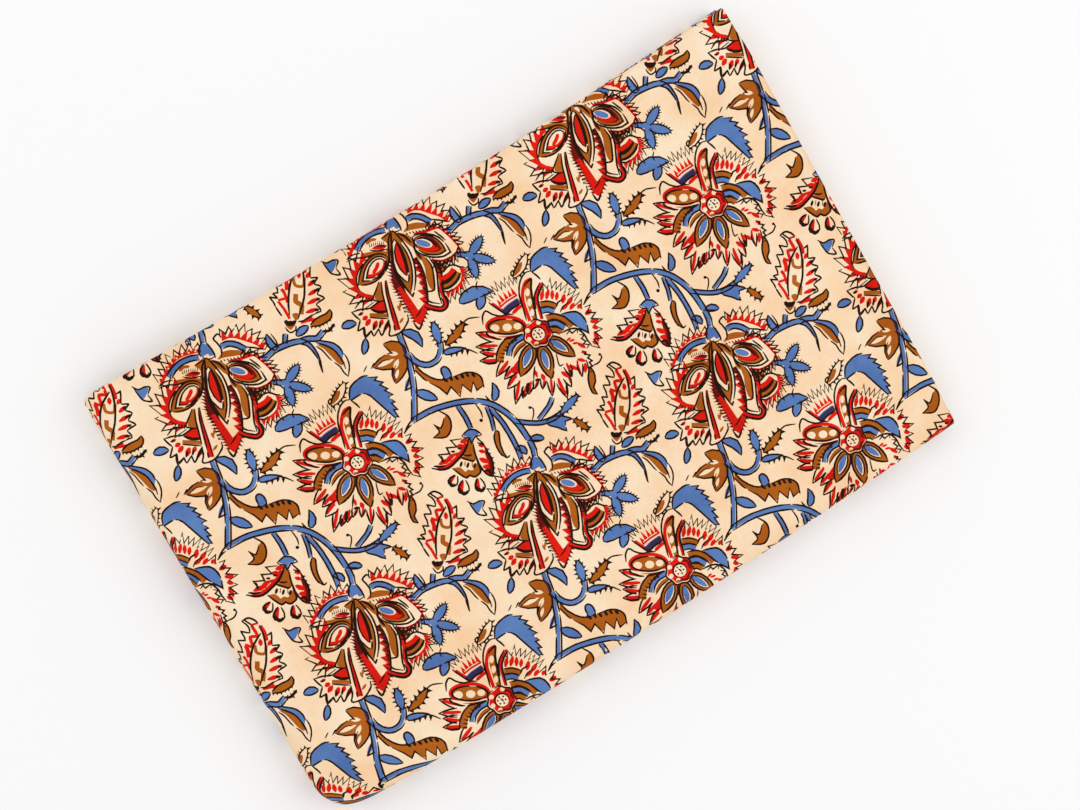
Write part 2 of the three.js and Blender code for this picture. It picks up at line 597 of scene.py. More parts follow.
    def lobe(self, base: complex, tip: complex, width: float, side: float = 0.0) -> None:
        """Carves one tooth of a ragged hem: two dark lines with a red mark between them.

        Args:
            base: Where it stands.
            tip: Its point.
            width: Its greatest width.
            side: Where the mark runs, from -0.5 at the right line to 0.5 at the left one.
        """
        left, right = petal(base, tip, width, 0.0, 0.3)
        mark = part(left * (0.5 + side) + right * (0.5 - side), 0.1, 0.86)
        self.put(ribbon(mark, width * 0.42 * np.sin(np.linspace(0.5, 2.7, len(mark)))), Ink.RED)
        self.line(part(left, 0.3, 1.0), 1.0)
        self.line(part(right, 0.3, 1.0), 1.0)

    def dashes(self, ink: Ink, path: Path, count: int, long: float, width: float,
               lean: float = 0.0) -> None:
        """Sets a row of soft brush marks on the left of a path.

        Args:
            ink: Their ink.
            path: The edge they stand on.
            count: How many there are.
            long: How long they are.
            width: How wide they are.
            lean: How far they lean on along the path, as a share of their length.
        """
        shares = (np.arange(count) + 0.5) / count
        for foot, way in zip(at_share(path, shares), heading_at(path, shares)):
            size = long * self.rng.uniform(0.8, 1.15)
            self.dash(ink, foot, foot + (1j + lean) * way * size, width)

    def thorns(self, path: Path, count: int, height: float, lean: float = 0.3,
               width: float = 0.75) -> None:
        """Sets short dark thorns on the left of a path.

        Args:
            path: The edge they stand on.
            count: How many there are.
            height: How long they are.
            lean: How far their tips lean on along the path, as a share of their length.
            width: How wide their feet are, as a share of their pitch.
        """
        shares = (np.arange(count) + 0.5) / count
        feet = at_share(path, shares)
        ways = heading_at(path, shares)
        half = lengths(path)[-1] / count * width / 2
        for foot, way in zip(feet, ways):
            tip = foot + (1j + lean) * way * height * self.rng.uniform(0.75, 1.2)
            root = foot - 1j * way * 0.5
            self.put(np.array([root - way * half, root + way * half, tip]), Ink.DARK)


@dataclass
class VineStems:
    """The winding stems of the repeat, with the small leaves and buds that sit on them."""

    thick: float = 5.2
    middling: float = 4.2
    thin: float = 3.4

    def carve(self, block: Block) -> None:
        """Carves every stem and what grows on it."""
        for carve_part in (
            self.main_vine, self.hanging_stems, self.right_branch, self.foot_stem, self.side_branch):
            carve_part(block)

    def main_vine(self, block: Block) -> None:
        """Carves the arch that carries the palmette."""
        arch = curve(-122+42.5j, -99+55.2j, -67+62.6j, -43+58.6j, -22+43.2j, -6+19.5j, -2.5+7j)
        block.stem(arch, self.thick)
        block.lines((1, -122+39j, -126+35.5j, -129.5+30j), (1, -119.5+46j, -124+41j, -128+34j))
        block.leaf(Ink.BLUE, -43+63j, -44.5+81j, 7.0, -0.16, 0.35)
        block.stroke(curve(-51+68j, -48+64j, -46+63j))
        block.leaf(Ink.BLUE, -8+23.8j, 6.6+25j, 7.0, 0.1, 0.5)
        block.stroke(curve(-10+23j, -7+23.5j, 2+24j), 0.7)

    def hanging_stems(self, block: Block) -> None:
        """Carves the stems that hang from the arch."""
        block.stem(curve(-78+58j, -70.5+47j, -65+35j), self.middling)
        block.stem(curve(-50+57j, -45+45j, -42.5+33j), self.thin)
        block.stem(curve(-46+55j, -35.5+43j, -25.5+27j, -18.8+13j, -16+4.5j), self.middling)
        block.line(curve(-61+60j, -55.5+52.5j, -53.6+46j), 0.9)
        block.fill(Ink.DARK, ring(-55+43.5j, 1.9, 7))
        block.leaf(Ink.BLUE, -21+16j, -10.8+9.5j, 6.5, 0.2)
        back = curve(-41.5+33j, -38+32j, -36.5+20j, -33+11j, -30+7.5j)
        front = curve(-30+7.5j, -35+9j, -40+17j, -42.5+26j, -41.5+33j)
        block.edged(Ink.BROWN, back, front)
        block.stroke(curve(-33+7.5j, -29.5+6.5j, -27+9j), 0.9)

    def right_branch(self, block: Block) -> None:
        """Carves the branch to the right of the arch, with its buds and its curl."""
        block.stem(curve(-22+43j, -15.5+41.6j, -4+40.6j, 6+41.5j, 17+46j, 26+53j), self.middling)
        block.stem(curve(14.5+66j, 11+57j, 1+44j), self.middling)
        block.feather(Ink.BLUE, 22+49j, 40+69j, 7.5, 6, 3.2)
        trident = curve(
            8+42j, 16+47j, 24+47.5j, 34+44.5j, 27+42j, 28.5+33j, 20+36j, 12+38j, closed=True, step=5)
        block.put(trident, Ink.BLUE)
        block.line(trident)
        block.line(curve(-5.5+43j, -3.8+50j, -4.5+55j, -8+57j), 0.8)
        block.fill(Ink.DARK, ring(-7.6+56j, 1.6, 7))
        block.feather(Ink.BROWN, 35+44.5j, 51+33.5j, 6.5, 4, 3.6)

    def foot_stem(self, block: Block) -> None:
        """Carves the stem that runs down from the palmette to the next arch."""
        trunk = curve(5.8-108j, 10.8-121j, 15.3-134j, 18.4-148j, 20.2-162j, 20.8-188j, 19.8-195j)
        block.stem(trunk, self.thick)
        block.leaf(Ink.BLUE, 9-106.5j, 28.5-121.5j, 9.0, 0.2, 0.4)
        hook = curve(15-128j, 20-134j, 27-138j, 35-138.5j, 42.5-134j, 46-126j, 45.5-116j)
        block.stem(hook, self.thick)
        block.feather(Ink.BLUE, 45.5-118j, 38.5-96j, 8.5, 6, 3.6)
        block.feather(Ink.BROWN, 50.5-119.5j, 69-96j, 8.0, 5, 4.4, -0.05)
        block.line(curve(66-99j, 73-93j, 84-91.5j), 0.8)
        block.fill(Ink.DARK, ring(57.8-107.6j, 1.5, 6))
        block.leaf(Ink.BLUE, 49-127j, 71-122j, 6.5, 0.02, 0.3)
        block.line(curve(66-123j, 73-123.5j, 82-127.5j), 0.9)
        block.thorns(curve(75-124j, 62-126j, 54-128j), 4, 4.6, 0.2)
        block.leaf(Ink.BLUE, 22-165j, 43.5-173j, 9.5, 0.0, 0.45)
        block.dash(Ink.BLUE, 17.5-150j, 12.5-164j, 4.5)
        block.strokes((1, 16.5-148j, 14.5-157j, 11.5-164.5j), (1, 11.5-164.5j, 16-162j, 19-160.5j))

    def side_branch(self, block: Block) -> None:
        """Carves the branch on the palmette's right, with its great curled leaf."""
        block.stem(curve(53.5-8.5j, 59-2.5j, 65+2.5j, 79.5+9j, 90+11.3j), self.thick)
        arm = curve(86+11j, 93+9.5j, 99+4.5j, 105-5j, 109.5-20j)
        half = 2.6 - 2.6 * lengths(arm) / lengths(arm)[-1]
        block.put(ribbon(arm, 2 * half), Ink.BLUE)
        block.line(beside(arm, half))
        block.line(beside(arm, -half))
        block.stem(curve(88+11j, 96+13.5j, 104+14j, 110+21.5j), self.thick)
        sprig = curve(109+21j, 115+21.5j, 120.5+28.5j)
        block.stroke(sprig, 1.6)
        block.thorns(sprig, 3, 3.4, 0.2, 0.7)
        block.thorns(sprig[::-1], 3, 3.4, -0.2, 0.7)
        block.leaf(Ink.BLUE, 66+2j, 56+17.5j, 7.0, 0.1, 0.4)
        block.stem(curve(73.3+8j, 74+18j), self.middling)
        outer = curve(103+12j, 112+11j, 120+9j, 126+4j, 129-2j)
        middle = curve(103+9.5j, 112+7j, 120+2.5j, 126-5j, 129-10j, 131-16j)
        inner = curve(103+7.5j, 110+3.5j, 116-3j, 122-9.5j, 127-12.5j, 129-10j)
        block.fill(Ink.BLUE, outer, part(middle, 0.0, 0.8)[::-1])
        block.fill(Ink.BROWN, part(middle, 0.1, 0.83), inner[::-1])
        block.line(outer)
        block.line(middle, broken=0.0)
        block.lines(
            (0.9, 129.5-1j, 133-7j, 134.5-14j, 133.5-23.5j), (0.9, 103+6j, 109+2j, 114-4j, 118-8j),
            (0.9, 120-9.5j, 126-14j, 129-19j, 133.5-23.5j))
        block.stroke(curve(68+4j, 65+11j, 60+18j), 0.8)


@dataclass
class Palmette:
    """The large drooping flower, carved about the cup that it hangs from."""

    def carve(self, block: Block) -> None:
        """Carves the whole flower."""
        for carve_part in (self.left_shoulder, self.crown, self.right_edge, self.right_petals,
                self.left_frill, self.lower_petals, self.strips, self.body, self.middle_petal,
                self.left_oval, self.right_oval, self.cup):
            carve_part(block)

    def cup(self, block: Block) -> None:
        """Carves the blue cup at the top."""
        block.put(curve(-5+6j, 1+6.2j, 5+2j, 7.5-4j, 1-5.5j, -5-5.5j, -7+0j, closed=True), Ink.BLUE)
        block.clear((Ink.BLUE, Ink.BROWN), curve(2-3j, 4-5.5j, 8-5j, 4-9j, -2-6j, closed=True))
        block.lines(
            (1, -4+9j, -6.5+3j, -7-1.5j, -5-6j), (1, -0.5+8.5j, 4+3j, 7.5-3j, 8.5-7j),
            (0.7, -4-6j, 0-8j, 5-7.5j, 8-5j))

    def left_shoulder(self, block: Block) -> None:
        """Carves the blue band on the left, its red saw edge and the small petal under it."""
        rim = curve(-40-34j, -35.5-24.5j, -31-15.5j, -23.5-8j, -10-3.4j, -5-2.6j)
        block.fill(Ink.RED, toothed(beside(rim, 3.2), 12, 2.8, 0.2, 0.0), beside(rim, 0.5)[::-1])
        for share in (0.3, 0.42, 0.54, 0.66, 0.78, 0.9):
            block.clear((Ink.RED,), ring(at_share(beside(rim, 2.3), share), 0.9, 6))
        block.line(toothed(beside(rim, 4.6), 8, 7.2, 0.2, 0.1), 1.0, broken=0.35)
        band = curve(-34.5-27j, -30.5-19.5j, -24-12.5j, -15-8j, -6.5-6.3j)
        block.lined(Ink.BLUE, band, 4.2, (2.6, 1), (-2.6, 1))
        block.stroke(curve(-44-36j, -38-31j, -31-29.5j), 0.9)
        block.stroke(curve(-25.5-20.5j, -22-16.5j, -16-15.5j), 1.6, Ink.BROWN)
        block.fill(Ink.RED, *self.sides(-5.5-22.5j, -20.5-25j, 5.4))
        block.fill(Ink.BROWN, *self.sides(-5.5-21.5j, -17-22.5j, 3.0))
        block.thorns(curve(-22.5-23.5j, -16-20.5j, -7.5-19.5j), 8, 4.6, 0.2, 0.6)
        block.line(curve(-22-26j, -14-27j, -5-25j), 0.9)
        block.put(ribbon(curve(-28-31.5j, -20-29.5j, -11-29j, -3-30j), 4.4), Ink.BROWN)
        block.line(curve(-44-38j, -36-34.5j, -26-33.5j, -17-30.5j, -8-31.5j), 0.9)

    def sides(self, base: complex, tip: complex, width: float) -> tuple[Path, Path]:
        """The sides of a petal, one after the other round its edge."""
        left, right = petal(base, tip, width)
        return left, right[::-1]

    def crown(self, block: Block) -> None:
        """Carves the brown and blue arcs on the right shoulder and the flames over them."""
        block.put(curve(10-8.5j, 13-3.5j, 15-0.5j, 23+1.5j, 31.5+0.8j, 34.5-2.3j, 27-4.4j, 17-6j,
                        closed=True), Ink.BROWN)
        block.dashes(Ink.DARK, curve(33-3.5j, 26-5.5j, 16-7.5j, 11-9j), 7, 3.4, 1.5, -0.6)
        arc = curve(14+4.5j, 20+7.3j, 28+6.5j, 37.5+1.6j)
        block.lined(Ink.BLUE, arc, 3.8, (2.6, 1.05), (-2.5, 1))
        block.lines(
            (0.9, 37+1j, 33.5-1j, 31.5-4j),
            (1, 14-6j, 14.5-0.5j, 13+4j, 9.5+8.5j, 6.5+12j, 10.3+16.8j, 14+13.5j))
        rise = curve(14+10.5j, 20+13.5j, 28+13.5j, 37+10.5j, 46+7.5j, 53+2.5j)
        block.fill(Ink.RED, toothed(rise, 7, 8.6, 0.15, 0.25), beside(rise, -1.3)[::-1])
        block.clear((Ink.RED,), ribbon(curve(17+9j, 27+11.5j, 37+8.5j, 44+5j), 1.0))
        high = curve(13+13j, 20+18j, 30+19.5j, 40+17.5j, 48+12j, 55+3j)
        block.line(toothed(high, 8, 7.0, 0.2, 0.2), 1.0, broken=0.3)
        block.line(curve(36+4.5j, 44+4j, 50+3j, 55.5+2.5j), 1.0)

    def right_edge(self, block: Block) -> None:
        """Carves the ragged red edge outside the right oval."""
        upper = curve(20-10j, 31-7.5j, 43-3.5j, 51-8.5j, 58-15j, 64-22j)
        lower = curve(64-22j, 61-29j, 55-34j, 47-37j, 40-36.5j)
        for path, teeth, inks in (
            (part(upper, 0.25, 1.0), 8, (Ink.RED,)), (lower, 8, (Ink.RED, Ink.BROWN))):
            saw = toothed(path, teeth, 4.4, 0.4, 0.1)
            for ink in inks:
                block.fill(ink, saw, beside(path, -1.4)[::-1])
            block.line(toothed(beside(path, 2.4), teeth, 5.0, 0.4, 0.1), 1.0, broken=0.35)
            block.thorns(path, teeth, 4.0, 0.5, 0.5)
        block.stroke(part(beside(upper, -0.4), 0.0, 0.5), 1.7, Ink.RED)
        block.lines((1.0, 34-4j, 40-1j, 43+0j, 48-3j, 50-7j), (0.9, 40-7j, 47-12j, 51-16j))
        block.line(curve(39-38j, 47-39.5j, 57-35j), 1.3, broken=0.0)

    def right_petals(self, block: Block) -> None:
        """Carves the long pale petal and the round one, right of the middle."""
        block.put(curve(40-37.5j, 47-39j, 52.5-41.5j, 49-46.5j, 44-46j, closed=True), Ink.BROWN)
        block.dashes(Ink.DARK, curve(52-42j, 46-40j, 42-40j), 4, 3.6, 1.6)
        block.line(curve(42-47j, 48-47.5j, 53-42j, 59-40j, 65-42j, 69-42j), 1.0)
        arc = curve(45-55.5j, 51.5-52.5j, 56-49j, 59-44.5j)
        block.put(ribbon(arc, 5.4), Ink.RED)
        block.line(beside(arc, -3.2), 1.5, broken=0.0)
        band = curve(46.5-62j, 54-59.5j, 60-54j, 63-47j)
        block.lined(Ink.BROWN, band, 4.4, (2.3, 1), (-2.8, 1.5))
        rim = curve(66-43j, 68-50j, 66.5-58j, 60-65j, 51-69j)
        block.fill(Ink.RED, toothed(rim, 7, 5.0, 0.3, 0.1), beside(rim, -1.8)[::-1])
        block.line(toothed(beside(rim, 1.8), 7, 7.0, 0.3, 0.1), 1.0, broken=0.2)
        block.line(curve(47-66j, 54-66.5j, 58-63.5j), 0.9)
        brown = curve(27-33j, 33-34j, 37.8-44j, 39.3-56j, 39-65j, 35-62j, 32-53j, 30.5-43j, closed=True)
        block.put(brown, Ink.BROWN)
        zigzag = curve(20.5-34j, 26-44j, 29.5-55.5j, 31-67j, 31.5-80j)[::-1]
        block.fill(Ink.RED, toothed(beside(zigzag, 0.6), 6, 6.0, 0.35, 0.0), beside(zigzag, -2.4)[::-1])
        upper = part(zigzag, 0.25, 1.0)
        block.fill(Ink.BROWN, toothed(beside(upper, -0.2), 5, 4.0, 0.3, 0.0), beside(upper, -2.8)[::-1])
        block.thorns(beside(zigzag, -1.8), 11, 5.0, 0.5, 0.5)
        block.line(beside(zigzag, -2.6), 0.9, broken=0.7)
        pale = curve(33-66j, 39-65j, 43-66.5j, 46-78j, 40-79.5j, 35-76j, closed=True, step=6)
        block.clear((Ink.BROWN, Ink.RED), pale)
        block.lines(
            (1, 32-33j, 38-42j, 40-55j, 40-65j, 33.5-67j, 35-76j, 46-78.5j),
            (1.05, 35-32.5j, 41.5-43j, 43.5-55j, 44.5-68j, 47.5-79j))
        strip = curve(37-35.5j, 43.5-43j, 46-54j, 47-68j, 51.5-78j, 47.5-83.5j, 38-82.5j, 31-79.5j)
        block.put(ribbon(strip, 3.4), Ink.RED)
        block.line(beside(strip, 1.9), 1.3, broken=0.1)
        block.stroke(beside(part(strip, 0.55, 1.0), -2.0), 1.0)

    def left_frill(self, block: Block) -> None:
        """Carves the ragged red hem on the left, outside the left oval."""
        hem = curve(-18-73.5j, -26-73j, -34-69j, -38-59j, -36.5-48j, -31-38j, -26-35j)
        inner = curve(-18-71j, -26-69.5j, -32-65j, -34.5-57j, -33-48j, -28-39j, -25-36j)
        block.fill(Ink.RED, toothed(hem, 7, 7.5, 0.5, 0.0), inner[::-1])
        block.thorns(part(hem, 0.0, 0.3), 6, 4.0, 0.2, 0.8)
        block.line(toothed(beside(hem, 4.0), 7, 8.5, 0.4, 0.1), 1.0, broken=0.25)
        block.stroke(part(inner, 0.3, 0.9), 0.8)
        block.line(curve(-36-84j, -30-76j, -24-76.5j, -18-74.5j), 1.0)

    def lower_petals(self, block: Block) -> None:
        """Carves the petals that hang below the left oval, and the red strip beside them."""
        block.put(curve(-12.5-57j, -9.5-62j, -8.5-75.5j, -17.5-74j, -15.5-65j, closed=True), Ink.BROWN)
        block.line(curve(-13-57j, -16-66j, -18.5-75j, -9-76.5j), 0.9)
        block.fill(Ink.RED, curve(-20.5-83j, -14-78j, -6-76.5j, -1.5-83j, -6-86j, -14-86.5j, closed=True))
        block.stroke(curve(-21-84j, -13-87j, -3-86j), 1.6)
        block.put(ribbon(curve(-22.5-90j, -14-90j, -4-90.5j), 3.8), Ink.BROWN)
        block.lines(
            (0.9, -22-92.5j, -14-93j, -4-93.5j),
            (1, -39-87.5j, -31-84.5j, -22-83.5j, -14-77.5j, -7-75.5j))
        block.dabs(Ink.RED,
            (-24-91.5j, -29-95.5j, 5.0), (-21.5-94j, -26-101.5j, 5.2), (-15.5-95.5j, -18.5-105j, 5.6),
            (-10-94.5j, -12-101j, 4.8), (-28-88j, -32.5-90j, 3.6), (-2.5-94j, -9-107j, 4.4))
        block.strokes(
            (1.4, -17-99j, -18.5-105j), (1.4, -11.5-97j, -12.5-103j), (1.4, -3-94j, -9-107j),
            (1.4, -29-89j, -33-90j), (1.4, -2-97j, -5-98j))
        teeth = np.array([-39.5-87j, -31-95j, -33.5-106j, -27-101.5j, -26-111j, -20.5-105j,
                          -18-111j, -13.5-103j, -10.5-110.5j, -7-103j, -2.5-95j])
        for start, end in zip(teeth, teeth[1:]):
            block.stroke(curve(start, (start + end) / 2 - 0.6j, end, step=3), 1.0)
        strip = curve(-6.6-56j, -5-68j, -1.2-82j, 2-94j, 4.6-105j)
        long = lengths(strip) / lengths(strip)[-1]
        pale = curve(-9-57j, -7.8-69j, -4.3-83j, -1.8-95j, -0.5-106j)
        block.clear((Ink.RED, Ink.BROWN, Ink.DARK), ribbon(pale, 3.2))
        block.put(ribbon(strip, 1.6 + 4.4 * long), Ink.RED)
        block.line(beside(strip, -0.6 - 1.6 * long), 1.05, broken=0.1)
        block.line(beside(strip, 0.8 + 1.2 * long), 0.8, broken=0.6)
        block.line(beside(pale, -1.8))
        block.line(curve(-2-100j, -3-110j, 5-108.5j, 11-103j, 15-95j, 14-89j), 1.0)
        block.thorns(curve(3-64j, 8-77j, 12-88j), 7, 4.4, 0.4, 0.6)
        block.dabs(Ink.BROWN, (4-80j, 7-86j, 2.8), (6-98j, 10-92j, 2.8), (8-75j, 6-84j, 2.8))

    def strips(self, block: Block) -> None:
        """Carves the red saw-edged strip that runs under the middle petal to its tip."""
        left = curve(-1.6-37j, -1.4-46j, 1.5-60j, 5.3-68j, 11.5-78j, 17.8-87.5j, 22-98j)[::-1]
        right = curve(0.5-37j, 3-50j, 7.5-59j, 14.5-70.5j, 20-79j, 25-86j)[::-1]
        block.fill(Ink.RED, toothed(left, 18, 2.8, 0.5, 0.0), right[::-1])
        dark = part(left, 0.58, 1.0)
        block.fill(Ink.BROWN, toothed(dark, 8, 2.4, 0.5, 0.0), part(right, 0.55, 1.0)[::-1])
        block.thorns(left, 20, 4.6, 0.5, 0.6)
        block.stroke(part(right, 0.4, 1.0), 1.3)
        foot = curve(19-88j, 25-85j, 30-79j, 33.5-84j, 31-92j, 27.5-100j, 22-97j, closed=True)
        block.put(foot, Ink.RED)
        block.thorns(curve(27-100j, 31-91j, 34-82j)[::-1], 5, 3.6, 0.3, 0.7)
        block.line(curve(20-97j, 25.5-103.5j, 29-96j), 1.2, broken=0.0)
        block.stroke(curve(22-92j, 26-87j, 28-82j), 0.8)

    def body(self, block: Block) -> None:
        """Carves the brown parts between the petals, below the cup."""
        block.put(curve(-2-7j, -6-9.5j, -11.5-14.5j, -7-18j, -5-22j, -6.5-27j, -4-36j, -0.5-38j,
                        -1-20j, closed=True), Ink.BROWN)
        block.strokes((1.1, -2.5-9j, -4-18j, -3.5-28j, -2.5-39j), (0.8, -11-15j, -6-11.5j, -3-9j))
        block.put(curve(-1-6.5j, 5-8.5j, 13-10.5j, 19-14.5j, 22-24j, 17-22j, 11-17j, 5-11.5j,
                        closed=True), Ink.BROWN)
        block.stroke(curve(5-9.5j, 12-12.5j, 18-18.5j), 1.3)
        block.put(curve(20-22j, 26-29j, 31-33j, 27-36j, 22-31j, closed=True), Ink.BROWN)
        block.stroke(curve(20-22j, 23-28j, 28-34j), 1.3)

    def middle_petal(self, block: Block) -> None:
        """Carves the great middle petal with its red heart."""
        left = curve(-1.6-7j, -1-16j, -0.4-28j, 1-39j, 4.5-49.5j, 10.8-60.5j, 19.6-72j)
        right = curve(0-6.5j, 9-16j, 16.5-27j, 20.9-39.5j, 22.3-52j, 21.5-62j, 19.6-72j)
        whole = loop(left, right[::-1])
        block.clear((Ink.RED, Ink.DARK), whole)
        block.put(whole, Ink.BROWN)
        pale = part(right, 0.2, 0.96)
        block.clear((Ink.BROWN,), pale, beside(pale, -2.9)[::-1])
        block.line(left, 1.3)
        block.line(right, 1.05)
        block.line(beside(part(right, 0.2, 0.93), -3.1), 0.95)
        for base, tip, width, clear in (
            (1.6-15.5j, 15.2-57.5j, 13.2, True), (3.6-19j, 13.9-51j, 7.6, False)):
            left, right = petal(base, tip, width, -0.05, 0.5)
            if clear:
                block.clear((Ink.BROWN,), left, right[::-1])
            else:
                block.fill(Ink.RED, left, right[::-1])
            block.line(left, 1.15)
            block.line(right, 0.9)

    def left_oval(self, block: Block) -> None:
        """Carves the eyed petal on the left."""
        edge = loop(curve(-4.2-33j, -10-29.8j, -18.5-31j, -26.5-39j, -31-49j, -33-61j),
                    curve(-33-61j, -23.5-60j, -15-56j, -7.3-48j, -4-40j, -4.2-33j)[1:-1])
        middle = -12.5-42j
        block.clear((Ink.BROWN, Ink.RED, Ink.BLUE, Ink.DARK), edge)
        block.put(edge, Ink.BROWN)
        block.line(edge[[*range(len(edge)), 0]], 1.0)
        self.shell(block, edge, middle, 0.78, (Ink.BROWN,), None, 1.0)
        self.shell(block, edge, middle + 0.8 - 0.6j, 0.62, (), Ink.RED, 0.9)
        self.shell(block, edge, middle - 1.6 + 1.2j, 0.48, (Ink.RED,), None, 0.0)
        block.stroke(curve(-19-50j, -15.5-44j, -14-38.5j), 2.0, Ink.RED)

    def right_oval(self, block: Block) -> None:
        """Carves the eyed petal on the right."""
        edge = loop(curve(19-13j, 24-10.2j, 33-9.6j, 43-12.2j, 51-19j, 56-27.5j),
                    curve(56-27.5j, 49-31.8j, 40-32.6j, 31-31j, 23-26j, 19-13j)[1:-1])
        middle = 30.5-19.7j
        block.clear((Ink.BROWN, Ink.RED, Ink.BLUE, Ink.DARK), edge)
        block.line(edge[[*range(len(edge)), 0]], 1.05)
        self.shell(block, edge, middle, 0.82, (), Ink.BROWN, 0.9)
        self.shell(block, edge, middle, 0.66, (), Ink.RED, 0.0)
        self.shell(block, edge, middle - 1j, 0.54, (Ink.BROWN,), None, 0.0)
        block.stroke(curve(23-15.5j, 30-13.6j, 38-17j, 43-23j), 1.2)
        block.clear((Ink.RED, Ink.BROWN, Ink.DARK), ring(30-19.4j, 8.6, 14, 0.46, -15))
        block.put(ring(30-19.3j, 7.4, 14, 0.42, -15), Ink.BLUE)

    def shell(self, block: Block, edge: Path, middle: complex, share: float,
              bare: tuple[Ink, ...], ink: Ink | None, width: float) -> None:
        """Carves one ring of an eyed petal.

        Args:
            block: The block.
            edge: The edge of the whole petal.
            middle: The middle of its eye.
            share: The ring's size as a share of the petal's.
            bare: The inks that are kept out of it.
            ink: The ink that it prints, if any.
            width: The width of its dark line as a multiple of the usual one.
        """
        shrunk = middle + (edge - middle) * share
        block.clear(bare, shrunk)
        if ink:
            block.put(shrunk, ink)
        if width:
            block.line(shrunk[[*range(len(shrunk)), 0]], width)


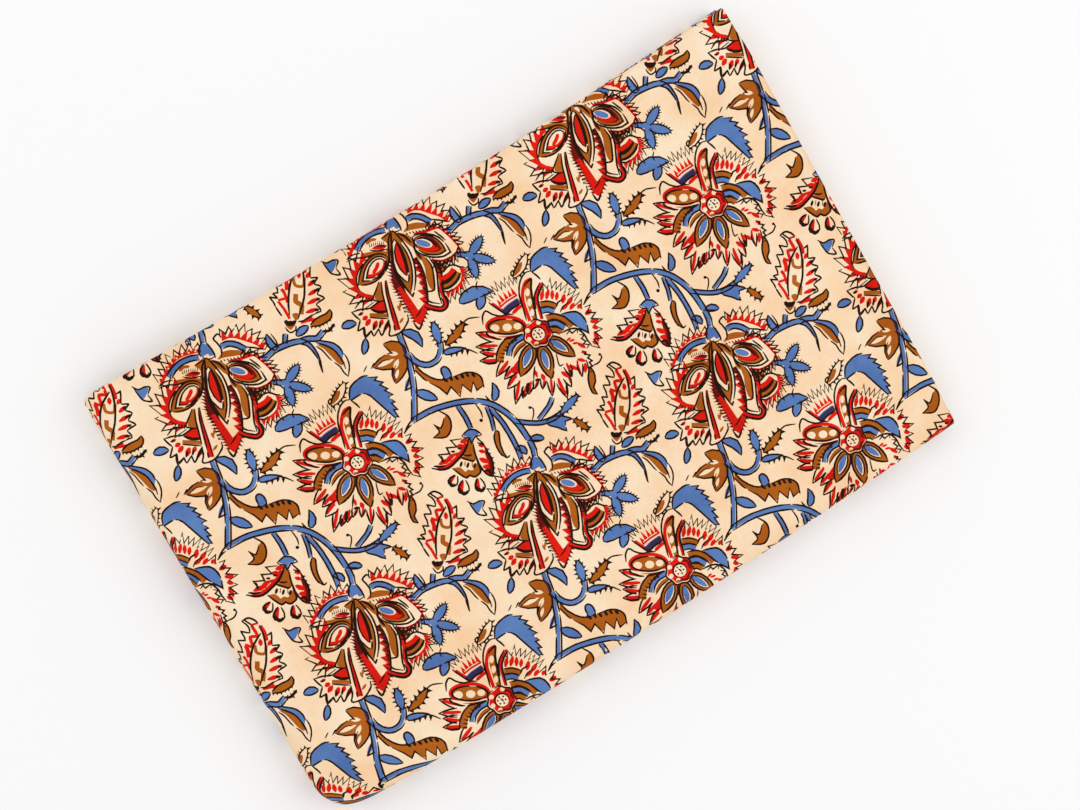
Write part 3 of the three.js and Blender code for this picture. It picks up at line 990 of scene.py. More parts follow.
@dataclass
class Rosette:
    """The round open flower, carved about its own middle."""

    heart: float = 12.6
    everything: tuple[Ink, ...] = (Ink.BROWN, Ink.RED, Ink.BLUE, Ink.DARK)

    def carve(self, block: Block) -> None:
        """Carves the whole flower."""
        for carve_part in (self.frills, self.upper_left, self.upper_right, self.right_sector,
                self.lower_petals, self.left_tongue, self.up_tongue, self.middle):
            carve_part(block)

    def middle(self, block: Block) -> None:
        """Carves the red ring and the pale heart with its seeds."""
        angle = np.linspace(0, math.tau, 43)
        scallop = self.heart * (1 + 0.07 * np.cos(angle * 7)) * np.exp(1j * angle)
        block.clear((Ink.BROWN, Ink.BLUE, Ink.DARK), scallop * 1.04)
        block.put(scallop, Ink.RED)
        for degrees in (88, 165, 215, 262):
            block.clear((Ink.RED,), ring(10.6 * turned(degrees), 2.4, 8))
        block.line(scallop * 1.1, 1.0, broken=0.4)
        block.put(ribbon(part(scallop, 0.02, 0.22) * 0.86, 2.2), Ink.BROWN)
        block.put(ribbon(part(scallop, 0.7, 0.98) * 0.84, 2.4), Ink.BROWN)
        block.put(ring(0, 7.6, 14), Ink.DARK)
        block.clear((Ink.RED, Ink.DARK), ring(0.4 - 0.6j, 6.4, 14))
        for degrees in range(10, 370, 60):
            block.fill(Ink.DARK, ring(3.9 * turned(degrees), 1.0, 6))
        block.stroke(curve(-1.5+1.5j, 0.5+0.5j, 2-1.5j), 0.8)

    def lower_petals(self, block: Block) -> None:
        """Carves the pointed petals with blue hearts that hang from the middle."""
        brown = curve(-22-3j, -31-9.5j, -36-18j, -37.5-28.5j)
        block.put(ribbon(brown, 6.4), Ink.BROWN)
        block.thorns(beside(brown, 3.6)[::-1], 8, 4.8, 0.0, 0.55)
        block.line(beside(brown, -3.6), 1.0)
        blue = curve(-13-2.5j, -22-7.5j, -27-14.5j, -28.5-22j)
        block.lined(Ink.BLUE, blue, 3.8, (2.5, 1), (-2.5, 1))
        block.stroke(curve(-12-8j, -19-13j, -24-22j), 2.0, Ink.BROWN)
        block.line(curve(-11-9.5j, -18-15j, -24-24j), 0.8)
        for base, tip, width in (
            (9-4j, 37-22.5j, 14.5), (3-11j, 13.5-44.5j, 14.5), (-5-10j, -17-42.5j, 15.5)):
            self.eyed_petal(block, base, tip, width)

    def eyed_petal(self, block: Block, base: complex, tip: complex, width: float) -> None:
        """Carves one brown petal with a pale ring and a blue heart."""
        left, right = petal(base, tip, width, 0.0, 0.42, 8)
        block.clear(self.everything, left, right[::-1])
        block.fill(Ink.BROWN, left, right[::-1])
        block.line(left, 1.1)
        block.line(right, 1.1)
        for share, wide, ink in ((0.76, 0.6, None), (0.7, 0.4, Ink.BLUE)):
            eye = petal(base + (tip - base) * 0.12, base + (tip - base) * share, width * wide, 0.0, 0.48)
            if ink:
                block.fill(ink, eye[0], eye[1][::-1])
            else:
                block.clear((Ink.BROWN,), eye[0], eye[1][::-1])
                block.line(eye[0], 0.9)
                block.line(eye[1], 0.7)

    def left_tongue(self, block: Block) -> None:
        """Carves the curled tongue that lies to the left."""
        edge = ring(-31.5+7j, 11.0, 26, 1.85, 90)
        block.clear(self.everything, beside(edge, 1.0))
        block.put(edge, Ink.RED)
        inside = ring(-31+7j, 7.4, 24, 2.35, 90)
        block.clear((Ink.RED,), inside)
        block.put(inside, Ink.BROWN)
        for spot, size in ((-42.5+5.6j, 4.6), (-30.5+6.4j, 4.7), (-20.5+7.6j, 4.0)):
            block.clear((Ink.BROWN,), ring(spot, size, 9, 0.85))
        block.line(part(inside, 0.0, 0.98), 1.1, broken=0.4)
        block.clear((Ink.RED,), ribbon(curve(-47-1j, -38-2.2j, -27-1.5j, -15+0.5j), 1.8))
        block.lines(
            (1.2, -51+2j, -48-2j, -41-4.8j, -33-5.2j, -24-3j, -15+0j),
            (1.0, -53.5+9j, -54+17j, -51+22.5j, -45+19.5j, -37+17.5j, -29+19.5j))

    def up_tongue(self, block: Block) -> None:
        """Carves the curled tongue that stands up."""
        edge = curve(-10+13j, -18+38j, -16+55j, -7.5+61.5j, 4+51j, -1.5+38j, 3+14j)
        block.clear(self.everything, edge)
        block.line(part(edge, 0.1, 0.62))
        block.put(ribbon(curve(-8+12j, -15+34j, -13+49j, -6.5+54j), 3.4), Ink.RED)
        block.line(curve(-11+13j, -14.5+26j, -17+36j), 0.9)
        inside = curve(-6+15j, -12.5+36j, -12+49j, -6.5+53j, -6.5+37j, -2+15j, closed=True)
        block.put(inside, Ink.BROWN)
        for spot, size in ((-6+21j, 2.2), (-8.5+31j, 2.4), (-10.5+41j, 2.4)):
            block.clear((Ink.BROWN,), ring(spot, size, 8, 1.7))
        block.line(curve(-13.5+47j, -6.5+54j, -6.3+42j, -1+14j), 1.2, broken=0.0)
        side = curve(4+50j, -1.5+35j, 3.5+14j)
        block.lined(Ink.RED, side, 2.6, (1.6, 1.1))
        block.line(beside(part(side, 0.0, 0.7), -1.9), 1.0)

    def upper_left(self, block: Block) -> None:
        """Carves the dark band and the rays on the upper left."""
        band = curve(-34+20j, -28+26.5j, -18.5+33j)
        for ink in (Ink.BROWN, Ink.BLUE):
            block.put(ribbon(band, 5.4), ink)
        block.line(beside(band, -3.2), 1.1)
        rim = curve(-38+27j, -31+33j, -21+39j)[::-1]
        block.fill(Ink.RED, toothed(rim[::-1], 5, 9.5, 0.1, 0.2), beside(rim[::-1], -2.4)[::-1])
        block.clear((Ink.RED,), ribbon(part(rim, 0.1, 0.9), 0.8))
        block.stroke(curve(-25+19.5j, -20+24.5j, -15+28j), 2.0, Ink.RED)
        block.line(curve(-48+31j, -40+25j, -32+20j, -24+19j), 1.1)
        block.stroke(curve(-45+30j, -38+24.5j, -31+20.5j), 1.6, Ink.RED)
        block.line(toothed(curve(-46+32j, -41+39j, -33+45j, -20+50j), 8, 9.0, 0.1, 0.1), 1.05, broken=0.5)

    def upper_right(self, block: Block) -> None:
        """Carves the arcs and the flames on the upper right."""
        for path, ink in (
            (curve(2+28.5j, 10+29.5j, 18+27j), Ink.BROWN), (curve(3+22.5j, 10+24j, 17+22j), Ink.BLUE)):
            block.lined(ink, path, 4.4, (2.7, 1.0), (-2.7, 0.9))
        block.dabs(Ink.RED,
            (3+32j, 5+43j, 4.6), (8+33j, 10.5+44j, 4.6), (14+33j, 14+43j, 4.4), (18+32j, 19+41j, 4.2),
            (24+29j, 26+39j, 5.0), (28+27j, 34+36j, 5.0), (23+23j, 30+29j, 4.4), (31+23j, 36+30j, 4.6))
        block.line(
            toothed(curve(2+40j, 10+44.5j, 20+43j, 29+38j, 36+32j), 9, 9.0, 0.1, 0.1), 1.05, broken=0.45)
        block.strokes((1.0, 18+26j, 20+31j, 25+34j), (0.9, 22+21j, 25+27j, 31+31j))

    def right_sector(self, block: Block) -> None:
        """Carves the arcs, the great blue crescent and the saw edge on the right."""
        for path, ink in (
            (curve(8+15j, 16+17j, 26+13.5j, 33+7j), Ink.BROWN),
            (curve(10+9j, 18+10.5j, 27+5.5j), Ink.BLUE), (curve(13+3.5j, 18+4j, 23+1.5j), Ink.BROWN)):
            block.lined(ink, path, 4.2, (2.7, 1.0))
            block.line(beside(path, -2.6), 0.9, broken=0.6)
        crescent = loop(curve(23+19.5j, 38+21.5j, 47+13j, 50+0.5j), curve(50+0.5j, 37+8j, 23+19.5j)[1:-1])
        block.clear(self.everything, crescent)
        block.put(crescent, Ink.BLUE)
        block.line(crescent, 1.1, broken=0.2)
        block.line(curve(23+0.5j, 30+4j, 38+5j, 45+0j, 49-7j, 53-11.5j), 1.05)
        block.dabs(Ink.RED,
            (39+24j, 42+29j, 4.4), (46+18j, 53+23j, 5.4), (51+11j, 60+13j, 5.6), (53+6j, 60+5j, 4.6),
            (55+2j, 60-9j, 5.0), (53-8j, 60-11j, 4.4))
        block.line(
            toothed(curve(36+27j, 45+23.5j, 52+16j, 56+6j, 56-4j, 52-12j), 7, 8.0, 0.15, 0.1), 1.05,
            broken=0.25)
        block.dashes(Ink.RED, curve(41-11j, 36-6j, 30-3.5j), 3, 5.0, 2.6, 0.6)

    def frills(self, block: Block) -> None:
        """Carves the ragged red hem of the flower, from its right round to its left."""
        for start, end, width in (
            (38-10j, 47-15j, 4.4), (42-19j, 48-20j, 3.0), (38-26j, 47-28j, 4.0), (46-29j, 46-40j, 4.2),
            (29-32j, 40-37j, 4.4), (22-38j, 30-44j, 4.6), (-4-36j, -1-44j, 3.4), (3-40j, 6-47j, 4.8),
            (-15-22j, -26-36j, 3.8), (-17-35j, -27-37j, 9.0), (-35-34j, -39-42j, 4.2),
            (-39-27j, -51-29j, 4.6)):
            block.dash(Ink.RED, start, end, width, 0.04)
        for base, tip, width, side in (
            (40-26j, 43.5-43j, 6.0, -0.4), (27-28j, 33.5-43j, 7.5, 0.0), (26-40j, 33-53j, 7.0, 0.3),
            (20-42j, 29-64j, 9.0, -0.2), (12-42j, 14-62j, 7.0, 0.0), (5.5-43j, 4.5-55j, 5.5, 0.1),
            (-1-43j, -4-55j, 5.5, 0.2), (-7-46j, -9-60j, 7.0, 0.0), (-11-50j, -15-64j, 7.0, 0.0),
            (-17-44j, -22-70j, 8.5, -0.1), (-19-42j, -30-54.5j, 9.0, -0.25),
            (-21-32j, -33-45j, 9.0, -0.1), (-29-25j, -41-42.5j, 9.5, 0.1), (-38-25j, -57-27j, 8.0, 0.1),
            (-38-19j, -57-18j, 8.5, 0.2), (-37-12j, -61-13j, 9.0, 0.0), (-38-5j, -61+1j, 9.0, 0.1)):
            block.lobe(base, tip, width, side)
        block.line(toothed(curve(28-1j, 36+0.5j, 42-3j, 44-9j, 48-15j), 5, 4.0, 0.2, 0.1), 0.9)
        block.line(toothed(curve(43-17j, 50-26j, 51-38j), 5, 3.0, 0.3, 0.1), 1.0)
        block.lines((0.9, -3-32j, -4-39j, -4-45j), (0.8, 18-20j, 20-29j, 22-32j, 25-30j))
        block.strokes(
            (1.5, -9-48j, -11-58j), (1.5, -14-56j, -15-62j), (1.5, -3-46j, 3-45j),
            (1.5, -40-28.5j, -50-29.5j), (1.5, 30-36j, 34-41j), (1.5, 28-50j, 29-60j))


@dataclass
class Pendant:
    """The small hanging bell flower, carved about the middle of its cap."""

    def carve(self, block: Block) -> None:
        """Carves the cap, the bell, the two petals and the drops."""
        self.bell(block)
        self.left_petal(block)
        self.right_petal(block)
        self.cap(block)
        for top, foot, width in (
            (-15.5-35j, -21-46j, 9.0), (-8.5-39j, -9-54.5j, 10.5), (5-37j, 8-51.5j, 9.5)):
            self.drop(block, top, foot, width)

    def cap(self, block: Block) -> None:
        """Carves the blue cap with its one tooth."""
        dome = curve(-11+3j, -7+7j, -4+9.3j, 1+9.3j, 5+7.5j, 8.5+4j)
        block.fill(
            Ink.BLUE, part(dome, 0.1, 0.9), curve(5+3.5j, 1+2.5j, -1.5-3.5j, -4+1.5j, -8+2.5j, step=1.6))
        block.line(dome, 1.0, broken=0.0)
        block.stroke(curve(-11+3j, -7.5+1j, -3.5+1j, -1.3-4j, 1.5+2j, 5+3j, 8.5+4j), 0.95)

    def bell(self, block: Block) -> None:
        """Carves the brown bell, its pale cup with three seeds and its hem."""
        cone = curve(-4.5-1j, -9-16j, -12-19.5j, -4-21j, 3-19j, 1-12j, -1-5j, closed=True)
        block.put(cone, Ink.BROWN)
        block.line(curve(-12-18j, -6-20.5j, 0-22j, 2-20j), 1.1)
        block.stroke(curve(-9-15.5j, -5-16.5j, -1-15.5j), 1.0)
        hem = curve(-20-29j, -13-34.5j, -6.5-38.5j, -3-36j, 2-37.5j, 7.5-32j, 4-22.5j, step=2.0)
        top = curve(4-22.5j, -1-31j, -5-30j, -8-32.5j, -13-28j, -20-29j)
        block.fill(Ink.BROWN, hem, top)
        block.line(hem, 1.1, broken=0.2)
        for spot in (-11.5-25j, -5-26j, 1.5-26.5j):
            block.fill(Ink.DARK, ring(spot, 1.4, 8, 2.2, -16))
        block.stroke(curve(-8-22j, -8.5-27j), 0.7, Ink.BROWN)
        block.stroke(curve(-1.5-22j, -1-28j), 0.7, Ink.BROWN)

    def left_petal(self, block: Block) -> None:
        """Carves the petal that swings out to the left."""
        low = curve(-4+1j, -6-7j, -10-15j, -17-23j, -24-29j, -32-30.5j, -40-29j)
        block.put(ribbon(part(beside(low, -2.0), 0.12, 0.9), 3.6), Ink.RED)
        block.dabs(Ink.RED,
            (-13-4j, -5-1j, 5.4), (-17-8j, -8-7.5j, 5.2), (-26-21j, -17-15j, 5.0),
            (-19-15.5j, -8-16j, 5.0), (-34-26j, -20-19.5j, 5.4))
        block.line(low, 1.4, broken=0.0)
        block.stroke(curve(-38-27j, -31-27.5j, -26-26j), 1.2)
        outer = curve(-12+1j, -17-7j, -24-14j, -30-21j)
        block.line(toothed(beside(outer, 1.5)[::-1], 3, 7.5, -0.3, 0.1), 1.05, broken=0.1)
        block.stroke(curve(-31-16.5j, -28.5-21.5j), 1.0)
        for spot in (-19-12.5j, -12.5-9.5j, -29-22j):
            block.dash(Ink.DARK, spot - 2.5, spot + 2.0, 2.6)

    def right_petal(self, block: Block) -> None:
        """Carves the petal that hangs down on the right, dark along its outer edge."""
        inner = curve(0-4j, 0.5-8j, 3-18j, 7-27j, 13-34.5j, 19.5-37.5j)
        outer = curve(3+2j, 7-2j, 11-6j, 13.5-12j, 18-20j, 19.5-27j, 19.5-37.5j)
        block.fill(Ink.RED, part(outer, 0.28, 1.0), part(inner, 0.78, 1.0)[::-1],
                   curve(13-33j, 14-26j, 12-18j, 11-11j, 10-7j))
        block.dabs(Ink.RED,
            (4.5-6.5j, 12-7.5j, 4.0), (5-12j, 12-13.5j, 4.2), (5.5-19.5j, 15-24j, 5.4),
            (9-28j, 17-28j, 5.4))
        block.put(ribbon(beside(part(outer, 0.4, 1.0), -1.6), 4.0), Ink.BROWN)
        block.line(inner, 1.1, broken=0.1)
        block.line(part(outer, 0.0, 0.26), 1.0, broken=0.0)
        block.thorns(part(outer, 0.3, 0.96), 6, 3.4, 0.3, 0.8)
        block.line(part(outer, 0.28, 1.0), 1.3, broken=0.0)
        block.strokes((1.6, 11-32j, 15-31j, 18-36j), (1.0, 4-3.5j, 8-5j, 11-6j))

    def drop(self, block: Block, top: complex, foot: complex, width: float) -> None:
        """Carves one drop that hangs from the hem, with its dark notched foot."""
        left, right = petal(top, foot, width, 0.0, 0.7)
        block.put(loop(part(left, 0.2, 0.85) * 0.45 + part(right, 0.2, 0.85) * 0.55,
                       part(right, 0.2, 0.85)[::-1]), Ink.RED)
        block.line(part(left, 0.1, 1.0), 0.9, broken=0.0)
        block.line(part(right, 0.1, 1.0), 1.3, broken=0.0)
        foot_edge = curve(part(left, 0.7, 1.0)[0], foot, part(right, 0.6, 1.0)[0], step=1.5)
        block.stroke(foot_edge, 1.8)
        block.thorns(foot_edge[::-1], 5, 2.6, 0.0, 0.9)


@dataclass
class SazLeaf:
    """The tall saw-edged leaf with a pale middle, carved about the foot of its blade."""

    def carve(self, block: Block) -> None:
        """Carves the blade, its middle, the brush marks and the foot."""
        self.marks(block)
        self.middle(block)
        spine = curve(7+4j, 13+27j, 12+49j, 6+66j, -3+72j, -10+68.5j)
        block.line(spine, 1.15, broken=0.1)
        block.line(curve(-1+8j, -2+19j, -1.5+31j, 1+44j, 6+54j, 8+57j), 1.2, broken=0.0)
        block.line(curve(-10+68.5j, -6+66j, -3+62j, -2+57j), 1.0, broken=0.0)
        block.stroke(curve(-8+70j, -3+67j, 1+64j), 1.0)
        for notch, tip, foot in (
            (-2+57j, -11+59j, -6+49j), (-6+49.5j, -13.5+49.5j, -9+37j), (-8+37.5j, -15+38j, -12+30j),
            (-11+30j, -17+28.5j, -12+24j), (-12+24.5j, -20+25.5j, -14+16j)):
            block.stroke(curve(notch, (notch + tip) / 2 - 1, tip, step=1.5), 1.0)
            block.stroke(curve(tip, (tip + foot) / 2 + 0.8, foot), 1.0)
        block.line(curve(-14+16j, -11+11j, -8+7j), 1.0)
        for notch, tip, foot in (
            (14+55j, 18+58.5j, 18.5+45j), (18.5+45j, 26+45.5j, 22+39j), (22+39j, 29+36.5j, 25+29j),
            (25+29j, 32.5+25j, 24+19j), (24+19j, 29+12j, 23+9.5j)):
            block.stroke(curve(notch, (notch + tip) / 2 + 1, tip, step=1.5), 1.0)
            block.stroke(curve(tip, (tip + foot) / 2 + 0.6j, foot), 1.0)
        block.line(curve(23+9.5j, 18+7j, 12+2.5j, 7+2j), 1.0)
        self.foot(block)

    def marks(self, block: Block) -> None:
        """Carves the red brush marks on both sides of the middle."""
        for points, width in (
            ((-1+64j, 4.5+54j, -2+52.5j, 0.5+43j), 3.2), ((-7+45j, 0+42.5j), 2.8),
            ((-6+44j, -4+38j, -3.5+32j), 4.2), ((-9+33j, -6+29j, -3+20j), 3.0), ((-12+22j, -5+24j), 2.6),
            ((-12+21j, -6+13j, -1+4j), 2.8), ((0+65j, 5+66.5j), 2.2), ((7+64j, 11.5+56j, 13+49j), 4.2)):
            block.put(ribbon(curve(*points), width), Ink.RED)
        block.dabs(Ink.RED,
            (14.5+44j, 18+50j, 4.6), (16+36j, 23+43j, 4.6), (16+27j, 26+34j, 4.6),
            (15+18.5j, 27+25j, 4.6), (13.5+10j, 26+14.5j, 4.6), (9-0.5j, 21+6.5j, 4.6))
        block.strokes(
            (1.5, 20+40j, 23+43j), (1.5, 22+31j, 27+35j), (1.5, 24+23j, 28+25j), (1.5, 22+13j, 27+14j))

    def middle(self, block: Block) -> None:
        """Carves the brown shapes in the leaf's middle."""
        block.put(ribbon(curve(2+45j, 4+37.5j, 11.5+37j, 12.5+45j), 3.0), Ink.BROWN)
        block.put(ribbon(curve(4.5+29j, 4.5+21.5j, 10+18j, 9.5+9j), 4.6), Ink.BROWN)
        block.fill(Ink.BROWN, curve(1+9j, 7+10j, 5+2j, closed=True))
        block.dash(Ink.RED, 7+51j, 8+43.5j, 4.6)

    def foot(self, block: Block) -> None:
        """Carves the dark knot and the little bulb under the blade."""
        block.strokes((2.4, -5+3j, -3+0j, 1-0.5j, 5+2.5j), (1.8, -5-1j, 0+1j, 4-0.5j))
        block.fill(Ink.BROWN, curve(-5-1j, 4-0.5j, 2-4j, 0-6.5j, -3-4.5j, closed=True))
        block.line(curve(-5-4j, -2-8j, 1-9j, 5-6j, 5-2j), 0.9)


@dataclass
class SmallSprigs:
    """The loose leaves, buds and pods between the flowers."""

    def carve(self, block: Block) -> None:
        """Carves all of them."""
        for carve_part in (self.brown_crescent, self.lily, self.caterpillar, self.three_lobes,
                self.bird, self.blue_crescent, self.buds):
            carve_part(block)

    def brown_crescent(self, block: Block) -> None:
        """Carves the brown curled leaf under the arch."""
        outer = curve(-98+54j, -86.5+47j, -84+36j, -89+27j, -101.5+26j)
        low = curve(-101.5+26j, -95.5+32j, -101+39.5j)
        inner = curve(-101+39.5j, -94+36j, -91+46j)
        block.fill(Ink.BROWN, part(outer, 0.2, 1.0), low, inner)
        block.line(outer)
        block.line(inner, 0.9)
        block.line(low, 0.9)

    def lily(self, block: Block) -> None:
        """Carves the three-tipped brown flower on the trunk's left."""
        sides = [petal(12-130j, tip, width, bend, 0.42)
                 for tip, width, bend in ((-9-118.5j, 13.5, -0.1), (-19-141.5j, 16.0, 0.0),
                                          (3-157.5j, 14.0, -0.05))]
        for left, right in sides:
            block.line(left, 0.95)
            block.line(right, 0.95)
        for left, right in sides:
            block.clear((Ink.DARK,), beside(left, -1.2), beside(right, 1.2)[::-1])
            block.fill(Ink.BROWN, left, right[::-1])
        for start, end, width in (
            (-15-140.5j, 1-133j, 4.4), (-5-127.5j, 5-128j, 4.6), (1-143j, 5-133j, 4.6),
            (2-153j, 5-143j, 3.4)):
            left, right = petal(start, end, width)
            block.clear((Ink.BROWN,), left, right[::-1])
        block.strokes((0.6, -17-142j, -9-135j, -2-134j), (0.6, 3.5-156j, 1-146j, 3-139j))

    def caterpillar(self, block: Block) -> None:
        """Carves the long brown leaf with great teeth below and dark dashes on its back."""
        back = curve(20.5-138j, 31-148j, 47-153.5j, 72-146j, 84.5-150j, 88-161.5j)
        low = loop(toothed(curve(88-158.5j, 77-155.5j, 62-159.5j, 45-161.5j), 4, 9.5, -0.1, 0.15),
                   curve(45-161.5j, 31-153.5j, 21-144j)[1:])
        block.fill(Ink.BROWN, back, low)
        for tip in (51-170j, 62.5-169.5j, 73.5-166.5j, 85-166j):
            block.clear((Ink.BROWN,), ring(tip, 2.8, 8))
        block.line(back)
        block.line(low, 0.95)
        block.strokes(
            (1.6, 48-151.5j, 53-155.5j), (1.6, 55-150j, 57.5-154.5j), (1.6, 60-149.5j, 63-153.5j),
            (1.6, 65.5-147.5j, 68.5-152j), (1.6, 70.5-147j, 73.5-150.5j), (1.6, 76-147j, 79.5-150.5j))
        bump = curve(49.5-152j, 47-147j, 46.5-142.5j, 49.5-140.3j, 53.5-142.5j, 56-147j, 57-151.5j)
        block.put(bump, Ink.BLUE)
        block.line(bump)

    def three_lobes(self, block: Block) -> None:
        """Carves the forked blue sprig on the palmette's right."""
        fork = 74.5 - 31.2j
        for tip, thorns in ((86.5-12j, 6), (99-36.5j, 6), (81.5-53j, 6)):
            left, right = petal(fork - (tip - fork) * 0.1, tip, 9.0, 0.0, 0.55)
            block.fill(Ink.BLUE, left, right[::-1])
            for side, lean in ((left, 0.5), (right[::-1], -0.5)):
                block.thorns(
                    part(side, *((0.4, 1.0) if lean > 0 else (0.0, 0.6))), thorns, 3.4, lean, 0.9)
                block.stroke(part(side, *((0.2, 1.0) if lean > 0 else (0.0, 0.8))), 0.9)
        block.put(ribbon(curve(62-29.5j, fork + 2), 5.0), Ink.BLUE)
        block.lines((0.9, 60-28j, 68-27.5j, 75-27j), (0.9, 62-32j, 69-33j, 73.5-37j))

    def bird(self, block: Block) -> None:
        """Carves the small curled blue leaf under the sprig."""
        block.leaf(Ink.BLUE, 87-67j, 83.5-84.5j, 9.0, 0.0, 0.5)
        left, right = petal(64.5-78j, 97-66j, 13.0, 0.14, 0.42)
        block.clear((Ink.DARK,), left, right[::-1])
        block.fill(Ink.BLUE, left, right[::-1])
        block.line(left)
        block.line(right)
        block.stroke(curve(82.5-65j, 80.5-61j, 82-56j), 0.8)

    def blue_crescent(self, block: Block) -> None:
        """Carves the great blue crescent that hangs over the rosette."""
        outer = curve(-181.5+62j, -180+77j, -165+87.5j, -149+77j, -138.5+57j, -137+45j)
        inner = curve(-137+45j, -149+56j, -166+69.5j, -181.5+62j)
        saw = toothed(beside(part(outer, 0.4, 0.98), -1.6), 7, 4.2, 0.5, 0.2)
        block.fill(Ink.BLUE, part(outer, 0.0, 0.4), saw, inner)
        block.line(part(outer, 0.0, 0.4))
        block.line(saw)
        block.line(inner)
        for spot in (-168+91j, -161+94j):
            block.stroke(curve(spot, spot + 3 + 6j), 0.8)

    def buds(self, block: Block) -> None:
        """Carves the loose buds, pods and feathers."""
        left, right = petal(117-53j, 130-29j, 9.0, -0.05, 0.5)
        for side, lean in ((left, 0.3), (right[::-1], -0.3)):
            block.line(side, 0.9)
            block.thorns(side, 7, 3.8, lean)
        block.dash(Ink.BROWN, 116-51.5j, 125-37j, 6.5)
        block.stroke(curve(116-52j, 114.5-48j, 117-45j), 0.9)
        block.put(curve(-64-40j, -57-38j, -53-37.5j, -54.5-44j, -58-49j, -62-45j, closed=True), Ink.BLUE)
        block.lines(
            (0.95, -69-36.5j, -63-39.5j, -57-36.5j, -52-37j, -54-44j),
            (0.95, -67-38j, -62-45.5j, -57.5-50j, -50-50.5j, -54-44.5j))
        top = curve(-78.5-100.5j, -74.5-95.5j, -69.5-92j, -63.5-89j, -60-84.5j)
        low = curve(-60-84.5j, -57.8-88.5j, -59-94j, -63.5-97.5j, -70-101j, -78.5-102j)
        block.fill(Ink.BROWN, top, low)
        block.line(top)
        block.line(low, broken=0.0)
        block.thorns(part(low, 0.3, 1.0), 6, 2.8, 0.3, 0.8)
        block.dash(Ink.RED, -84-98j, -72-94j, 3.2)
        block.leaf(Ink.BLUE, -91.5-111.5j, -80-101.5j, 7.5, 0.05, 0.5)
        block.leaf(Ink.BLUE, -48.5-103j, -34.5-98.5j, 8.0, 0.1, 0.5)
        block.strokes((0.9, -28-103j, -27.5-108j, -26-113j), (0.9, -20.5-106j, -23-109.5j, -26-113j))
        block.leaf(Ink.BLUE, -26-113j, -28-129j, 6.5, 0.05, 0.5)
        back = curve(-122.5-31j, -118.8-38j, -117.8-46j, -119.5-52j, -115.5-58.5j)
        front = curve(-115.5-58.5j, -121-56.5j, -124.8-46j, -124.5-36j, -122.5-31j)
        block.edged(Ink.BROWN, back, front)
        block.stroke(curve(-127-24j, -125-31j, -124.5-37j), 0.8)
        block.line(curve(-120.8-30.2j, -114.5-27j, -111.5-21.5j, -113.5-18.5j), 0.9)
        block.fill(Ink.DARK, ring(-113.5-19j, 1.5, 6))


@dataclass
class FlowerRepeat:
    """The trailing flower repeat of the print, drawn in units of about 0.6 mm."""

    rosette: complex = complex(-174.4, 1.8)
    pendant: complex = complex(-63.0, 25.0)
    saz: complex = complex(-97.0, -99.0)

    def carve(self, block: Block) -> None:
        """Carves the whole repeat into a block."""
        VineStems().carve(block)
        Pendant().carve(block.at(self.pendant))
        SazLeaf().carve(block.at(self.saz))
        SmallSprigs().carve(block)
        Palmette().carve(block)
        Rosette().carve(block.at(self.rosette))


@dataclass
class Shape:
    """A closed shape of one ink where it lies on the flat cloth."""

    edge: np.ndarray
    ink: Ink
    prints: bool


